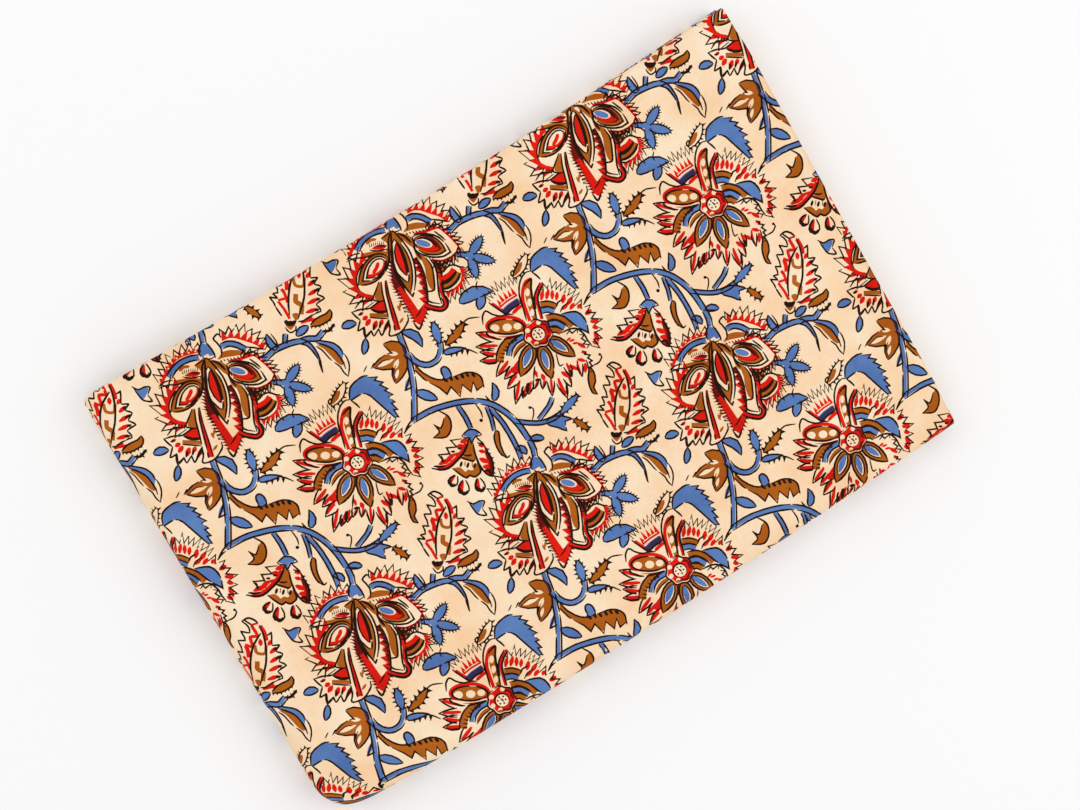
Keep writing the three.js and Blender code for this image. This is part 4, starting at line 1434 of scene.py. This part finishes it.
@dataclass
class PrintLayout:
    """How the block's impressions lie on the flat cloth, in millimetres."""

    first: complex = complex(-144.2, -33.5)
    along: complex = complex(132.4, 9.0)
    across: complex = complex(2.65, -167.85)
    unit_right: complex = complex(0.5343, -0.3227)
    unit_up: complex = complex(0.3042, 0.5170)
    reach: tuple[float, float] = (-163.0, 163.0)
    fineness: float = 0.15
    fineness_below: float = 0.5
    slip: dict[Ink, complex] = field(default_factory=lambda: {
        Ink.BROWN: complex(0.25, -0.2), Ink.BLUE: complex(-0.2, 0.25),
        Ink.RED: complex(0.3, 0.15), Ink.DARK: 0j})
    unsteadiness: float = 0.3
    seed: int = 11

    def impressions(self, pack: FoldedPack) -> list[Shape]:
        """Prints the block all over the cloth that shows.

        Args:
            pack: The folded pack, for the size of the flat cloth.

        Returns:
            The shapes that touch the cloth, in the order in which they print.
        """
        block = Block()
        FlowerRepeat().carve(block)
        rng = np.random.default_rng(self.seed)
        shapes: list[Shape] = []
        for column in range(-5, 5):
            for row in range(-2, 3):
                centre = self.first + column * self.along + row * self.across
                wander = self.unsteadiness * complex(*rng.uniform(-1, 1, 2))
                for patch in block.patches:
                    spot = patch.edge.real * self.unit_right + patch.edge.imag * self.unit_up
                    spot = centre + wander + self.slip[patch.ink] + spot
                    if self.touches(spot, pack):
                        flat = np.stack([spot.real, spot.imag], axis=-1)
                        shapes.append(Shape(flat, patch.ink, patch.prints))
        log.info("block: %d shapes, %d of them on the cloth", len(block.patches), len(shapes))
        return shapes

    def simplified(self, line: np.ndarray, pack: FoldedPack) -> np.ndarray:
        """A line of the print with fewer points, more so where it is on the underside."""
        below = line[:, 0].max() < pack.length / 2 - pack.leg - pack.fold_lengths[-1]
        return thinned(line, self.fineness_below if below else self.fineness)

    def touches(self, spot: Path, pack: FoldedPack) -> bool:
        """Whether a shape lies at least in part on the printed stretch of the cloth."""
        return bool(spot.real.max() > pack.low_x and spot.real.min() < pack.length / 2
                    and spot.imag.max() > self.reach[0] and spot.imag.min() < self.reach[1])

    def inks_at(self, spots: np.ndarray, shapes: list[Shape]) -> np.ndarray:
        """What is printed at each spot.

        Args:
            spots: Places on the flat cloth.
            shapes: The shapes in the order in which they print.

        Returns:
            The sum of the ink bits at each spot.
        """
        order = np.argsort(spots[:, 0])
        x, y = spots[order, 0], spots[order, 1]
        codes = np.zeros(len(spots), int)
        for shape in shapes:
            low, high = shape.edge.min(axis=0), shape.edge.max(axis=0)
            start, end = np.searchsorted(x, (low[0], high[0]))
            near = start + np.flatnonzero((y[start:end] > low[1]) & (y[start:end] < high[1]))
            hit = near[windings(x[near], y[near], shape.edge) != 0]
            bit = shape.ink.value
            codes[hit] = codes[hit] | bit if shape.prints else codes[hit] & ~bit
        found = np.zeros(len(spots), int)
        found[order] = codes
        return found


def windings(x: np.ndarray, y: np.ndarray, edge: np.ndarray) -> np.ndarray:
    """How many times a closed edge runs round each spot."""
    start, end = edge[:, None, :], np.roll(edge, -1, axis=0)[:, None, :]
    side = ((end[..., 0] - start[..., 0]) * (y - start[..., 1])
            - (x - start[..., 0]) * (end[..., 1] - start[..., 1]))
    upwards = (start[..., 1] <= y) & (end[..., 1] > y) & (side > 0)
    downwards = (start[..., 1] > y) & (end[..., 1] <= y) & (side < 0)
    return upwards.sum(axis=0) - downwards.sum(axis=0)


def thinned(line: np.ndarray, fineness: float) -> np.ndarray:
    """Leaves out the points of a line that lie almost on the straight lines without them."""
    kept = {0, len(line) - 1}
    waiting = [(0, len(line) - 1)]
    while waiting:
        start, end = waiting.pop()
        if end - start < 2:
            continue
        span = line[end] - line[start]
        away = line[start + 1:end] - line[start]
        size = float(np.hypot(*span))
        if size > fineness:
            gaps = np.abs(span[0] * away[:, 1] - span[1] * away[:, 0]) / size
        else:
            gaps = np.hypot(away[:, 0], away[:, 1])
        worst = int(np.argmax(gaps))
        if gaps[worst] > fineness:
            middle = start + 1 + worst
            kept.add(middle)
            waiting += [(start, middle), (middle, end)]
    return line[sorted(kept)]


def tints_of(inks: np.ndarray) -> np.ndarray:
    """The number of the finish that shows for each sum of ink bits."""
    return np.array([SHOWN[code].value for code in range(ALL_INKS + 1)])[inks]


@dataclass
class PrintedSheet:
    """The cloth itself: one thin closed sheet, cut into faces along the edges of its print."""

    pack: FoldedPack
    layout: PrintLayout
    thickness: float = 0.6
    fine_step: float = 9.0
    coarse_step: float = 26.0
    turn_step: float = 2.6
    turn_step_along: float = 5.0
    fold_steps: int = 12
    hidden_fold_steps: int = 8
    weld: float = 1e-4
    edge_clear: float = 0.01
    back_clear: float = 1.0
    sliver: float = 1e-7

    def columns(self, step: float, fold_steps: int) -> np.ndarray:
        """Places along the flat cloth for its loose points, close together round the fold."""
        pack = self.pack
        half, leg, fold = pack.length / 2, pack.leg, float(pack.fold_lengths[-1])
        count = max(2, round(leg / step))
        upper = half - np.linspace(0.0, leg, count + 1)
        bend = half - leg - np.linspace(0.0, fold, fold_steps + 1)[1:-1]
        lower = half - leg - fold - np.linspace(0.0, leg, count + 1)
        return np.concatenate([upper, bend, lower])

    def rows(self, printed: bool, step: float) -> np.ndarray:
        """Places along the wound line for loose points, close together round each turn."""
        low, high = self.layout.reach
        runs = self.pack.runs
        places: list[np.ndarray] = []
        for start, long, radius in zip(runs["start"], runs["long"], runs["radius"]):
            pitch = step if radius == 0 else max(self.turn_step, radius * math.pi / 5)
            count = max(2, math.ceil(long / pitch))
            places.append(start + long * np.arange(count) / count)
        places.append(np.array([self.pack.high_y]))
        rows = np.concatenate(places)
        inside = (rows > low) & (rows < high)
        return rows[inside] if printed else rows[~inside]

    def loose_points(self) -> np.ndarray:
        """Points that keep the faces small enough to bend round the turns and the fold."""
        fine = self.columns(self.fine_step, self.fold_steps)
        coarse = self.columns(self.coarse_step, self.hidden_fold_steps)
        turns = self.columns(self.turn_step_along, self.fold_steps)
        flat = self.rows(True, self.fine_step)
        side = self.pack.width / 2 - self.pack.bundle
        on_turn = np.abs(flat) > side
        grids = ((fine, flat[~on_turn]), (turns, flat[on_turn]),
                 (coarse, self.rows(False, self.coarse_step)))
        parts = [np.stack(np.meshgrid(x, y), axis=-1).reshape(-1, 2) for x, y in grids]
        points = np.concatenate(parts)
        return self.inside(points, self.edge_clear)

    def inside(self, points: np.ndarray, clear: float) -> np.ndarray:
        """The points that lie further than clear inside the cloth's edges."""
        pack = self.pack
        kept = ((points[:, 0] < pack.length / 2 - clear) & (points[:, 0] > pack.low_x + clear)
                & (points[:, 1] > pack.low_y + clear) & (points[:, 1] < pack.high_y - clear))
        return points[kept]

    def rim(self) -> np.ndarray:
        """The points of the cloth's four edges, in order round the flat cloth."""
        pack = self.pack
        along = self.columns(self.coarse_step, self.hidden_fold_steps)[::-1]
        rows = np.unique(np.concatenate([
            self.rows(True, self.fine_step), self.rows(False, self.coarse_step),
            [pack.low_y, pack.high_y],
        ]))
        low = np.stack([along, np.full(len(along), pack.low_y)], axis=-1)
        high = np.stack([along[::-1], np.full(len(along), pack.high_y)], axis=-1)
        free = np.stack([np.full(len(rows), pack.length / 2), rows], axis=-1)[1:-1]
        lower_free = np.stack([np.full(len(rows), pack.low_x), rows[::-1]], axis=-1)[1:-1]
        return np.concatenate([low, free, high, lower_free])

    def triangulate(self, points: np.ndarray, loops: list[np.ndarray],
                    lines: list[np.ndarray]) -> tuple[np.ndarray, np.ndarray]:
        """Joins points into triangles that keep the edges of every loop and line.

        Args:
            points: Loose points of the flat cloth.
            loops: Closed loops of points.
            lines: Open lines of points.

        Returns:
            The points that came out, and three of their numbers for each triangle.
        """
        spots = [points, *loops, *lines]
        edges: list[tuple[int, int]] = []
        base = len(points)
        for number, path in enumerate([*loops, *lines]):
            count = len(path)
            edges.extend((base + spot, base + spot + 1) for spot in range(count - 1))
            if number < len(loops):
                edges.append((base + count - 1, base))
            base += count
        vectors = [Vector(spot) for spot in np.concatenate(spots)]
        found, _, faces, *_ = delaunay_2d_cdt(vectors, edges, [], 0, self.weld, False)
        flat = np.array([(spot.x, spot.y) for spot in found])
        triangles = np.array([face for face in faces if len(face) == 3])
        return self.trimmed(flat, triangles)

    def trimmed(self, flat: np.ndarray, triangles: np.ndarray) -> tuple[np.ndarray, np.ndarray]:
        """Leaves out what lies beyond the cloth's edges, and slivers without area."""
        corners = flat[triangles]
        middle = corners.mean(axis=1)
        across = corners[:, 1] - corners[:, 0]
        up = corners[:, 2] - corners[:, 0]
        area = across[:, 0] * up[:, 1] - across[:, 1] * up[:, 0]
        pack = self.pack
        kept = ((middle[:, 0] < pack.length / 2) & (middle[:, 0] > pack.low_x)
                & (middle[:, 1] > pack.low_y) & (middle[:, 1] < pack.high_y)
                & (area > self.sliver))
        triangles = triangles[kept]
        used, numbers = np.unique(triangles, return_inverse=True)
        return flat[used], numbers.reshape(-1, 3)

    def print_lines(self, flat: np.ndarray, triangles: np.ndarray,
                    inks: np.ndarray) -> list[np.ndarray]:
        """Finds the lines along which what the cloth shows changes.

        Args:
            flat: Points of the flat cloth.
            triangles: Three point numbers for each triangle.
            inks: What is printed on each triangle, as a sum of ink bits.

        Returns:
            The lines, each from one meeting place of lines to the next, with few points.
        """
        tint = tints_of(inks)
        pairs = np.concatenate([triangles[:, [0, 1]], triangles[:, [1, 2]], triangles[:, [2, 0]]])
        beside = np.tile(tint, 3)
        flipped = pairs[:, 0] > pairs[:, 1]
        pairs[flipped] = pairs[flipped][:, ::-1]
        order = np.lexsort((pairs[:, 1], pairs[:, 0]))
        pairs, beside = pairs[order], beside[order]
        twins = np.all(pairs[1:] == pairs[:-1], axis=1) & (beside[1:] != beside[:-1])
        joined: dict[int, list[int]] = {}
        for a, b in pairs[1:][twins].tolist():
            joined.setdefault(a, []).append(b)
            joined.setdefault(b, []).append(a)
        meeting = {spot for spot, others in joined.items() if len(others) != 2}
        lines: list[np.ndarray] = []
        for start in [*sorted(meeting), *joined]:
            while joined[start]:
                line = [start]
                while joined[line[-1]] and (len(line) == 1 or line[-1] not in meeting):
                    following = joined[line[-1]].pop()
                    joined[following].remove(line[-1])
                    line.append(following)
                lines.append(self.layout.simplified(flat[line], self.pack))
        log.info("print: %d lines, %d points", len(lines), sum(map(len, lines)))
        return lines

    def edge_loop(self, triangles: np.ndarray) -> np.ndarray:
        """The numbers of the points round the cloth's edge, in order."""
        pairs = np.concatenate([triangles[:, [0, 1]], triangles[:, [1, 2]], triangles[:, [2, 0]]])
        backwards = set(map(tuple, pairs[:, ::-1].tolist()))
        following = {a: b for a, b in pairs.tolist() if (a, b) not in backwards}
        loop = [next(iter(following))]
        while following[loop[-1]] != loop[0]:
            loop.append(following[loop[-1]])
        log.info("cloth edge: %d points, %d open edges", len(loop), len(following))
        return np.array(loop)

    def back_triangles(self, border: np.ndarray) -> tuple[np.ndarray, np.ndarray]:
        """The unprinted side, which shares only its border with the printed one."""
        x = self.columns(self.coarse_step, self.hidden_fold_steps)
        step = self.coarse_step
        rows = np.unique(np.concatenate([self.rows(True, step), self.rows(False, step)]))
        points = np.stack(np.meshgrid(x, rows), axis=-1).reshape(-1, 2)
        return self.triangulate(self.inside(points, self.back_clear), [border], [])

    def build(self) -> bpy.types.Object:
        """Makes the folded sheet, with its ink slots and its two sets of flat places.

        Returns:
            The finished cloth, in metres in the pack's frame.
        """
        shapes = self.layout.impressions(self.pack)
        loops = [self.rim(), *(shape.edge for shape in shapes)]
        rough, rough_faces = self.triangulate(np.empty((0, 2)), loops, [])
        rough_inks = self.layout.inks_at(rough[rough_faces].mean(axis=1), shapes)
        lines = self.print_lines(rough, rough_faces, rough_inks)
        front, faces = self.triangulate(self.loose_points(), [self.rim()], lines)
        log.info("printed side: %d points, %d faces", len(front), len(faces))
        inks = self.layout.inks_at(front[faces].mean(axis=1), shapes)
        border = self.edge_loop(faces)
        back, back_faces = self.back_triangles(front[border])
        keys = {tuple(key): number for number, key in enumerate(np.round(back, 2).tolist())}
        twin = np.array([keys[tuple(key)] for key in np.round(front[border], 2).tolist()])

        count = len(front)
        flat = np.concatenate([front, back])
        lift = self.pack.ply / 2
        placed = np.concatenate([
            self.pack.place(front[:, 0], front[:, 1], lift),
            self.pack.place(back[:, 0], back[:, 1], lift - self.thickness),
        ])
        placed = (placed + self.pack.centring()) * MM
        following = np.roll(border, -1)
        twin_following = np.roll(twin, -1)
        rim_a = np.stack([border, count + twin, following], axis=-1)
        rim_b = np.stack([following, count + twin, count + twin_following], axis=-1)
        every = np.concatenate([faces, count + back_faces[:, ::-1], rim_a, rim_b])
        plain = np.zeros(len(every) - len(faces), int)
        sides = np.concatenate([np.zeros(len(faces), int), np.ones(len(plain), int)])
        return self.made_object(placed, every, np.concatenate([inks, plain]), flat, sides)

    def made_object(self, placed: np.ndarray, faces: np.ndarray, inks: np.ndarray,
                    flat: np.ndarray, sides: np.ndarray) -> bpy.types.Object:
        """Turns the worked-out sheet into an object.

        Args:
            placed: Where its points lie, in metres.
            faces: Three point numbers for each face.
            inks: What is printed on each face, as a sum of ink bits.
            flat: Where its points lie on the flat cloth, in millimetres.
            sides: 0 for a face of the printed side and 1 for any other.

        Returns:
            The object, linked to the scene.
        """
        mesh = bpy.data.meshes.new("printed_cloth")
        mesh.from_pydata(placed.tolist(), [], faces.tolist())
        tint = tints_of(inks)
        mesh.polygons.foreach_set("material_index", tint.astype(np.int32))
        mesh.polygons.foreach_set("use_smooth", np.ones(len(faces), bool))
        corners = flat[faces.ravel()]
        cloth = mesh.uv_layers.new(name=CLOTH_MAP)
        cloth.uv.foreach_set("vector", (corners * MM).astype(np.float32).ravel())
        strips = StripMap(self.pack, self.layout.reach)
        bake = mesh.uv_layers.new(name=BAKE_MAP)
        spots = strips.spots(corners, np.repeat(tint, 3), np.repeat(sides, 3))
        bake.uv.foreach_set("vector", spots.astype(np.float32).ravel())
        mesh.validate()
        mesh.update()
        piece = bpy.data.objects.new("printed_cloth", mesh)
        bpy.context.scene.collection.objects.link(piece)
        return piece


@dataclass
class StripMap:
    """A flat layout of the whole cloth in which every ink has a strip of its own.

    Neighbouring inks then never share an edge in it, so that a small picture of the
    cloth's soft colours can't blur one ink into the next.
    """

    pack: FoldedPack
    reach: tuple[float, float]
    ground_share: float = 0.42
    ink_share: float = 0.07
    hidden_share: float = 0.04
    back_share: float = 0.06
    margin: float = 0.004
    pad: float = 20.0

    def spots(self, flat: np.ndarray, tint: np.ndarray, side: np.ndarray) -> np.ndarray:
        """Where corners of the cloth's faces lie in the strips.

        Args:
            flat: Places on the flat cloth.
            tint: The number of the finish at each.
            side: 0 on the printed side and 1 elsewhere.

        Returns:
            One place between 0 and 1 for each corner.
        """
        pack = self.pack
        low, high = self.reach
        pad = self.pad
        x = (flat[:, 0] - pack.low_x) / (pack.length / 2 - pack.low_x)
        y = flat[:, 1]
        strips = ((low - pad, high + pad, self.ground_share),
                  *((low - pad, high + pad, self.ink_share),) * (len(Tint) - 1))
        bottom = 0.0
        v = np.zeros(len(flat))
        for number, (start, end, share) in enumerate(strips):
            here = (tint == number) & (side == 0)
            v[here] = self.strip(y[here], start, end, bottom, share)
            bottom += share
        hidden_low = (tint == 0) & (side == 0) & (y < low - pad)
        v[hidden_low] = self.strip(y[hidden_low], pack.low_y, low, bottom, self.hidden_share)
        bottom += self.hidden_share
        hidden_high = (tint == 0) & (side == 0) & (y > high + pad)
        v[hidden_high] = self.strip(y[hidden_high], high, pack.high_y, bottom, self.hidden_share)
        bottom += self.hidden_share
        back = side == 1
        v[back] = self.strip(y[back], pack.low_y, pack.high_y, bottom, self.back_share)
        return np.stack([self.margin + x * (1 - 2 * self.margin), v], axis=-1)

    def strip(self, y: np.ndarray, start: float, end: float, bottom: float,
              share: float) -> np.ndarray:
        """Places y in one strip, inside its margins."""
        along = np.clip((y - start) / (end - start), 0.0, 1.0)
        return bottom + self.margin + along * (share - 2 * self.margin)


class Wire:
    """A number that a shader works out, with Python's own arithmetic."""

    def __init__(self, bench: Bench, socket: bpy.types.NodeSocket) -> None:
        """Keeps a node's output and the bench that it is on."""
        self.bench = bench
        self.socket = socket

    def __add__(self, other: Wire | float) -> Wire:
        """The sum of two numbers."""
        return self.bench.maths("ADD", self, other)

    def __mul__(self, other: Wire | float) -> Wire:
        """The product of two numbers."""
        return self.bench.maths("MULTIPLY", self, other)

    __radd__ = __add__


class Bench:
    """The node tree of one material, and the ways to add to it."""

    def __init__(self, material: bpy.types.Material) -> None:
        """Finds the material's shader."""
        material.use_nodes = True
        self.tree = material.node_tree
        self.shader = self.tree.nodes["Principled BSDF"]

    def node(self, kind: str, settings: dict[str, object] | None = None,
             values: dict[str | int, object] | None = None,
             out: str | int = 0) -> Wire:
        """Adds a node.

        Args:
            kind: The node's type.
            settings: What is set on the node itself, before its sockets.
            values: A number, colour or wire for each socket that is used.
            out: The output that is wanted.

        Returns:
            That output.
        """
        made = self.tree.nodes.new(kind)
        for name, value in (settings or {}).items():
            setattr(made, name, value)
        for name, value in (values or {}).items():
            self.feed(made.inputs[name], value)
        return Wire(self, made.outputs[out])

    def feed(self, socket: bpy.types.NodeSocket, value: object) -> None:
        """Links a wire to a socket, or sets its value."""
        if isinstance(value, Wire):
            self.tree.links.new(value.socket, socket)
        else:
            socket.default_value = value

    def maths(self, operation: str, first: Wire | float, second: Wire | float) -> Wire:
        """Adds one step of arithmetic."""
        return self.node("ShaderNodeMath", {"operation": operation}, {0: first, 1: second})

    def between(self, share: Wire, low: Colour, high: Colour) -> Wire:
        """Mixes two colours."""
        ends = {0: share, 6: paint(low), 7: paint(high)}
        return self.node("ShaderNodeMix", {"data_type": "RGBA"}, ends, out=2)

    def spread(self, value: Wire, low: float, high: float) -> Wire:
        """Stretches what lies between low and high to 0 to 1."""
        return self.node("ShaderNodeMapRange", {"clamp": True},
                         {"Value": value, "From Min": low, "From Max": high})


Colour = tuple[float, float, float]


def paint(colour: Colour) -> tuple[float, ...]:
    """A screen colour, with parts from 0 to 255, as the light that it stands for."""
    parts = [part / 255 for part in colour]
    light = [part / 12.92 if part <= 0.04045 else ((part + 0.055) / 1.055) ** 2.4
             for part in parts]
    return (*light, 1.0)


@dataclass(frozen=True)
class CottonFinish:
    """Matt plain-weave cotton, bare or under one ink or one overprint of inks."""

    name: str
    colour: Colour
    other: Colour
    blotch: float = 26.0
    speck: float = 364.0
    blotch_part: float = 0.8
    speck_part: float = 0.2
    mottle: tuple[float, float] = (0.36, 0.64)
    thread_pitch: float = 0.00034
    weave_depth: float = 0.00009
    thread_part: float = 0.5
    fuzz_part: float = 0.6
    roughness: float = 0.82
    rougher: float = 0.12
    specular: float = 0.1
    sheen: float = 0.02

    def material(self) -> bpy.types.Material:
        """Makes the material."""
        made = bpy.data.materials.new(self.name)
        bench = Bench(made)
        cloth = bench.node("ShaderNodeUVMap", {"uv_map": CLOTH_MAP})
        blotches = bench.node("ShaderNodeTexNoise", None, {
            "Vector": cloth, "Scale": self.blotch, "Detail": 3.0, "Roughness": 0.55})
        specks = bench.node("ShaderNodeTexNoise", None, {
            "Vector": cloth, "Scale": self.speck, "Detail": 2.0, "Roughness": 0.6})
        mixed = blotches * self.blotch_part + specks * self.speck_part
        mottle = bench.spread(mixed, *self.mottle)
        bench.feed(bench.shader.inputs["Base Color"], bench.between(mottle, self.colour, self.other))
        turn = math.tau / self.thread_pitch
        along, across = (
            bench.node("ShaderNodeSeparateXYZ", None, {0: cloth}, axis) for axis in "XY")
        warp = bench.maths("SINE", along * turn, 0.0)
        weft = bench.maths("SINE", across * turn, 0.0)
        weave = warp * weft * self.thread_part + specks * self.fuzz_part
        bump = bench.node("ShaderNodeBump", None, {
            "Strength": 0.5, "Distance": self.weave_depth, "Height": weave})
        bench.feed(bench.shader.inputs["Normal"], bump)
        bench.feed(bench.shader.inputs["Roughness"], self.roughness + specks * self.rougher)
        bench.feed(bench.shader.inputs["Specular IOR Level"], self.specular)
        bench.feed(bench.shader.inputs["Sheen Weight"], self.sheen)
        bench.feed(bench.shader.inputs["Sheen Roughness"], 0.5)
        return made


@dataclass(frozen=True)
class Finishes:
    """The finish of the bare cloth and of each ink on it, in the order of the slots."""

    ground: CottonFinish = CottonFinish("cotton_ground", (255, 233, 202), (252, 209, 164))
    brown: CottonFinish = CottonFinish("cotton_brown", (184, 100, 24), (162, 82, 16))
    blue: CottonFinish = CottonFinish("cotton_blue", (100, 136, 194), (80, 110, 168))
    red: CottonFinish = CottonFinish("cotton_red", (234, 30, 10), (205, 22, 8))
    maroon: CottonFinish = CottonFinish("cotton_maroon", (122, 16, 12), (98, 10, 10))
    indigo: CottonFinish = CottonFinish("cotton_indigo", (62, 50, 92), (46, 36, 70))
    dark: CottonFinish = CottonFinish("cotton_dark", (44, 18, 9), (30, 13, 7))

    def dress(self, piece: bpy.types.Object) -> None:
        """Gives a piece every finish, one slot each."""
        for tint in Tint:
            piece.data.materials.append(getattr(self, tint.name.lower()).material())


@dataclass
class Studio:
    """The floor, the lights and the camera, sized in metres."""

    focal_pixels: float = 1900.0
    frame_pixels: float = 1080.0
    sensor_mm: float = 36.0
    target: tuple[float, float, float] = (0.00783, 0.00106, 0.0128)
    distance: float = 1.15409
    lean: tuple[float, float, float] = (-0.08464, 0.08079, 1.0)
    roll: float = math.radians(31.952)
    floor_size: float = 6.0
    paper: tuple[float, float, float] = (252.0, 252.0, 252.0)
    paper_roughness: float = 0.95
    sky: float = 0.80
    lamps: tuple[tuple[str, tuple[float, float, float], float, float], ...] = (
        ("soft_left", (-1.1, 1.3, 2.2), 1.8, 9.0), ("soft_right", (1.9, -0.6, 2.1), 2.0, 15.0))

    def floor(self) -> None:
        """A plain pale round floor, far wider than the view."""
        shape = bmesh.new()
        bmesh.ops.create_circle(shape, cap_ends=True, segments=64, radius=self.floor_size)
        mesh = bpy.data.meshes.new("floor")
        shape.to_mesh(mesh)
        shape.free()
        floor = bpy.data.objects.new("floor", mesh)
        bpy.context.scene.collection.objects.link(floor)
        made = bpy.data.materials.new("floor_paper")
        bench = Bench(made)
        bench.feed(bench.shader.inputs["Base Color"], paint(self.paper))
        bench.feed(bench.shader.inputs["Roughness"], self.paper_roughness)
        bench.feed(bench.shader.inputs["Specular IOR Level"], 0.0)
        mesh.materials.append(made)

    def light(self, name: str, place: tuple[float, float, float], size: float,
              power: float) -> None:
        """A soft square light that faces the pack."""
        lamp = bpy.data.lights.new(name, "AREA")
        lamp.size = size
        lamp.energy = power
        holder = bpy.data.objects.new(name, lamp)
        holder.location = place
        holder.rotation_euler = (-Vector(place)).to_track_quat("-Z", "Y").to_euler()
        bpy.context.scene.collection.objects.link(holder)

    def lights(self) -> None:
        """An even white surround with two large soft lights above."""
        world = bpy.data.worlds.new("studio")
        world.use_nodes = True
        background = world.node_tree.nodes["Background"]
        background.inputs["Color"].default_value = (1.0, 1.0, 1.0, 1.0)
        background.inputs["Strength"].default_value = self.sky
        bpy.context.scene.world = world
        for lamp in self.lamps:
            self.light(*lamp)

    def camera(self) -> None:
        """The camera at the photograph's viewing angle."""
        lens = bpy.data.cameras.new("camera")
        lens.sensor_width = self.sensor_mm
        lens.lens = self.focal_pixels * self.sensor_mm / self.frame_pixels
        holder = bpy.data.objects.new("camera", lens)
        outwards = Vector(self.lean).normalized()
        forward = -outwards
        upwards = Vector((math.sin(self.roll), math.cos(self.roll), 0.0))
        right = forward.cross(upwards).normalized()
        top = right.cross(forward)
        place = Vector(self.target) + outwards * self.distance
        axes = Matrix((right, top, outwards)).transposed()
        holder.matrix_world = Matrix.Translation(place) @ axes.to_4x4()
        bpy.context.scene.collection.objects.link(holder)
        bpy.context.scene.camera = holder

    def build(self) -> None:
        """Sets the whole scene round the pack."""
        self.floor()
        self.lights()
        self.camera()
        bpy.context.scene.view_settings.view_transform = "Standard"


def main() -> None:
    """Builds the cloth and the studio, and notes the sizes."""
    logging.basicConfig(level=logging.INFO, format="%(message)s")
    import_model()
    pack = FoldedPack()
    sheet = PrintedSheet(pack, PrintLayout())
    cloth = sheet.build()
    Finishes().dress(cloth)
    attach(cloth, BODY)
    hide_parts(NODE)
    flat = ((pack.length / 2 - pack.low_x) * MM, (pack.high_y - pack.low_y) * MM)
    log.info("printed_cloth: %d faces, flat size %.3f x %.3f m", len(cloth.data.polygons), *flat)
    Studio().build()
    log.info("studio: floor, two soft lights and the camera")


if __name__ == "__main__":
    main()
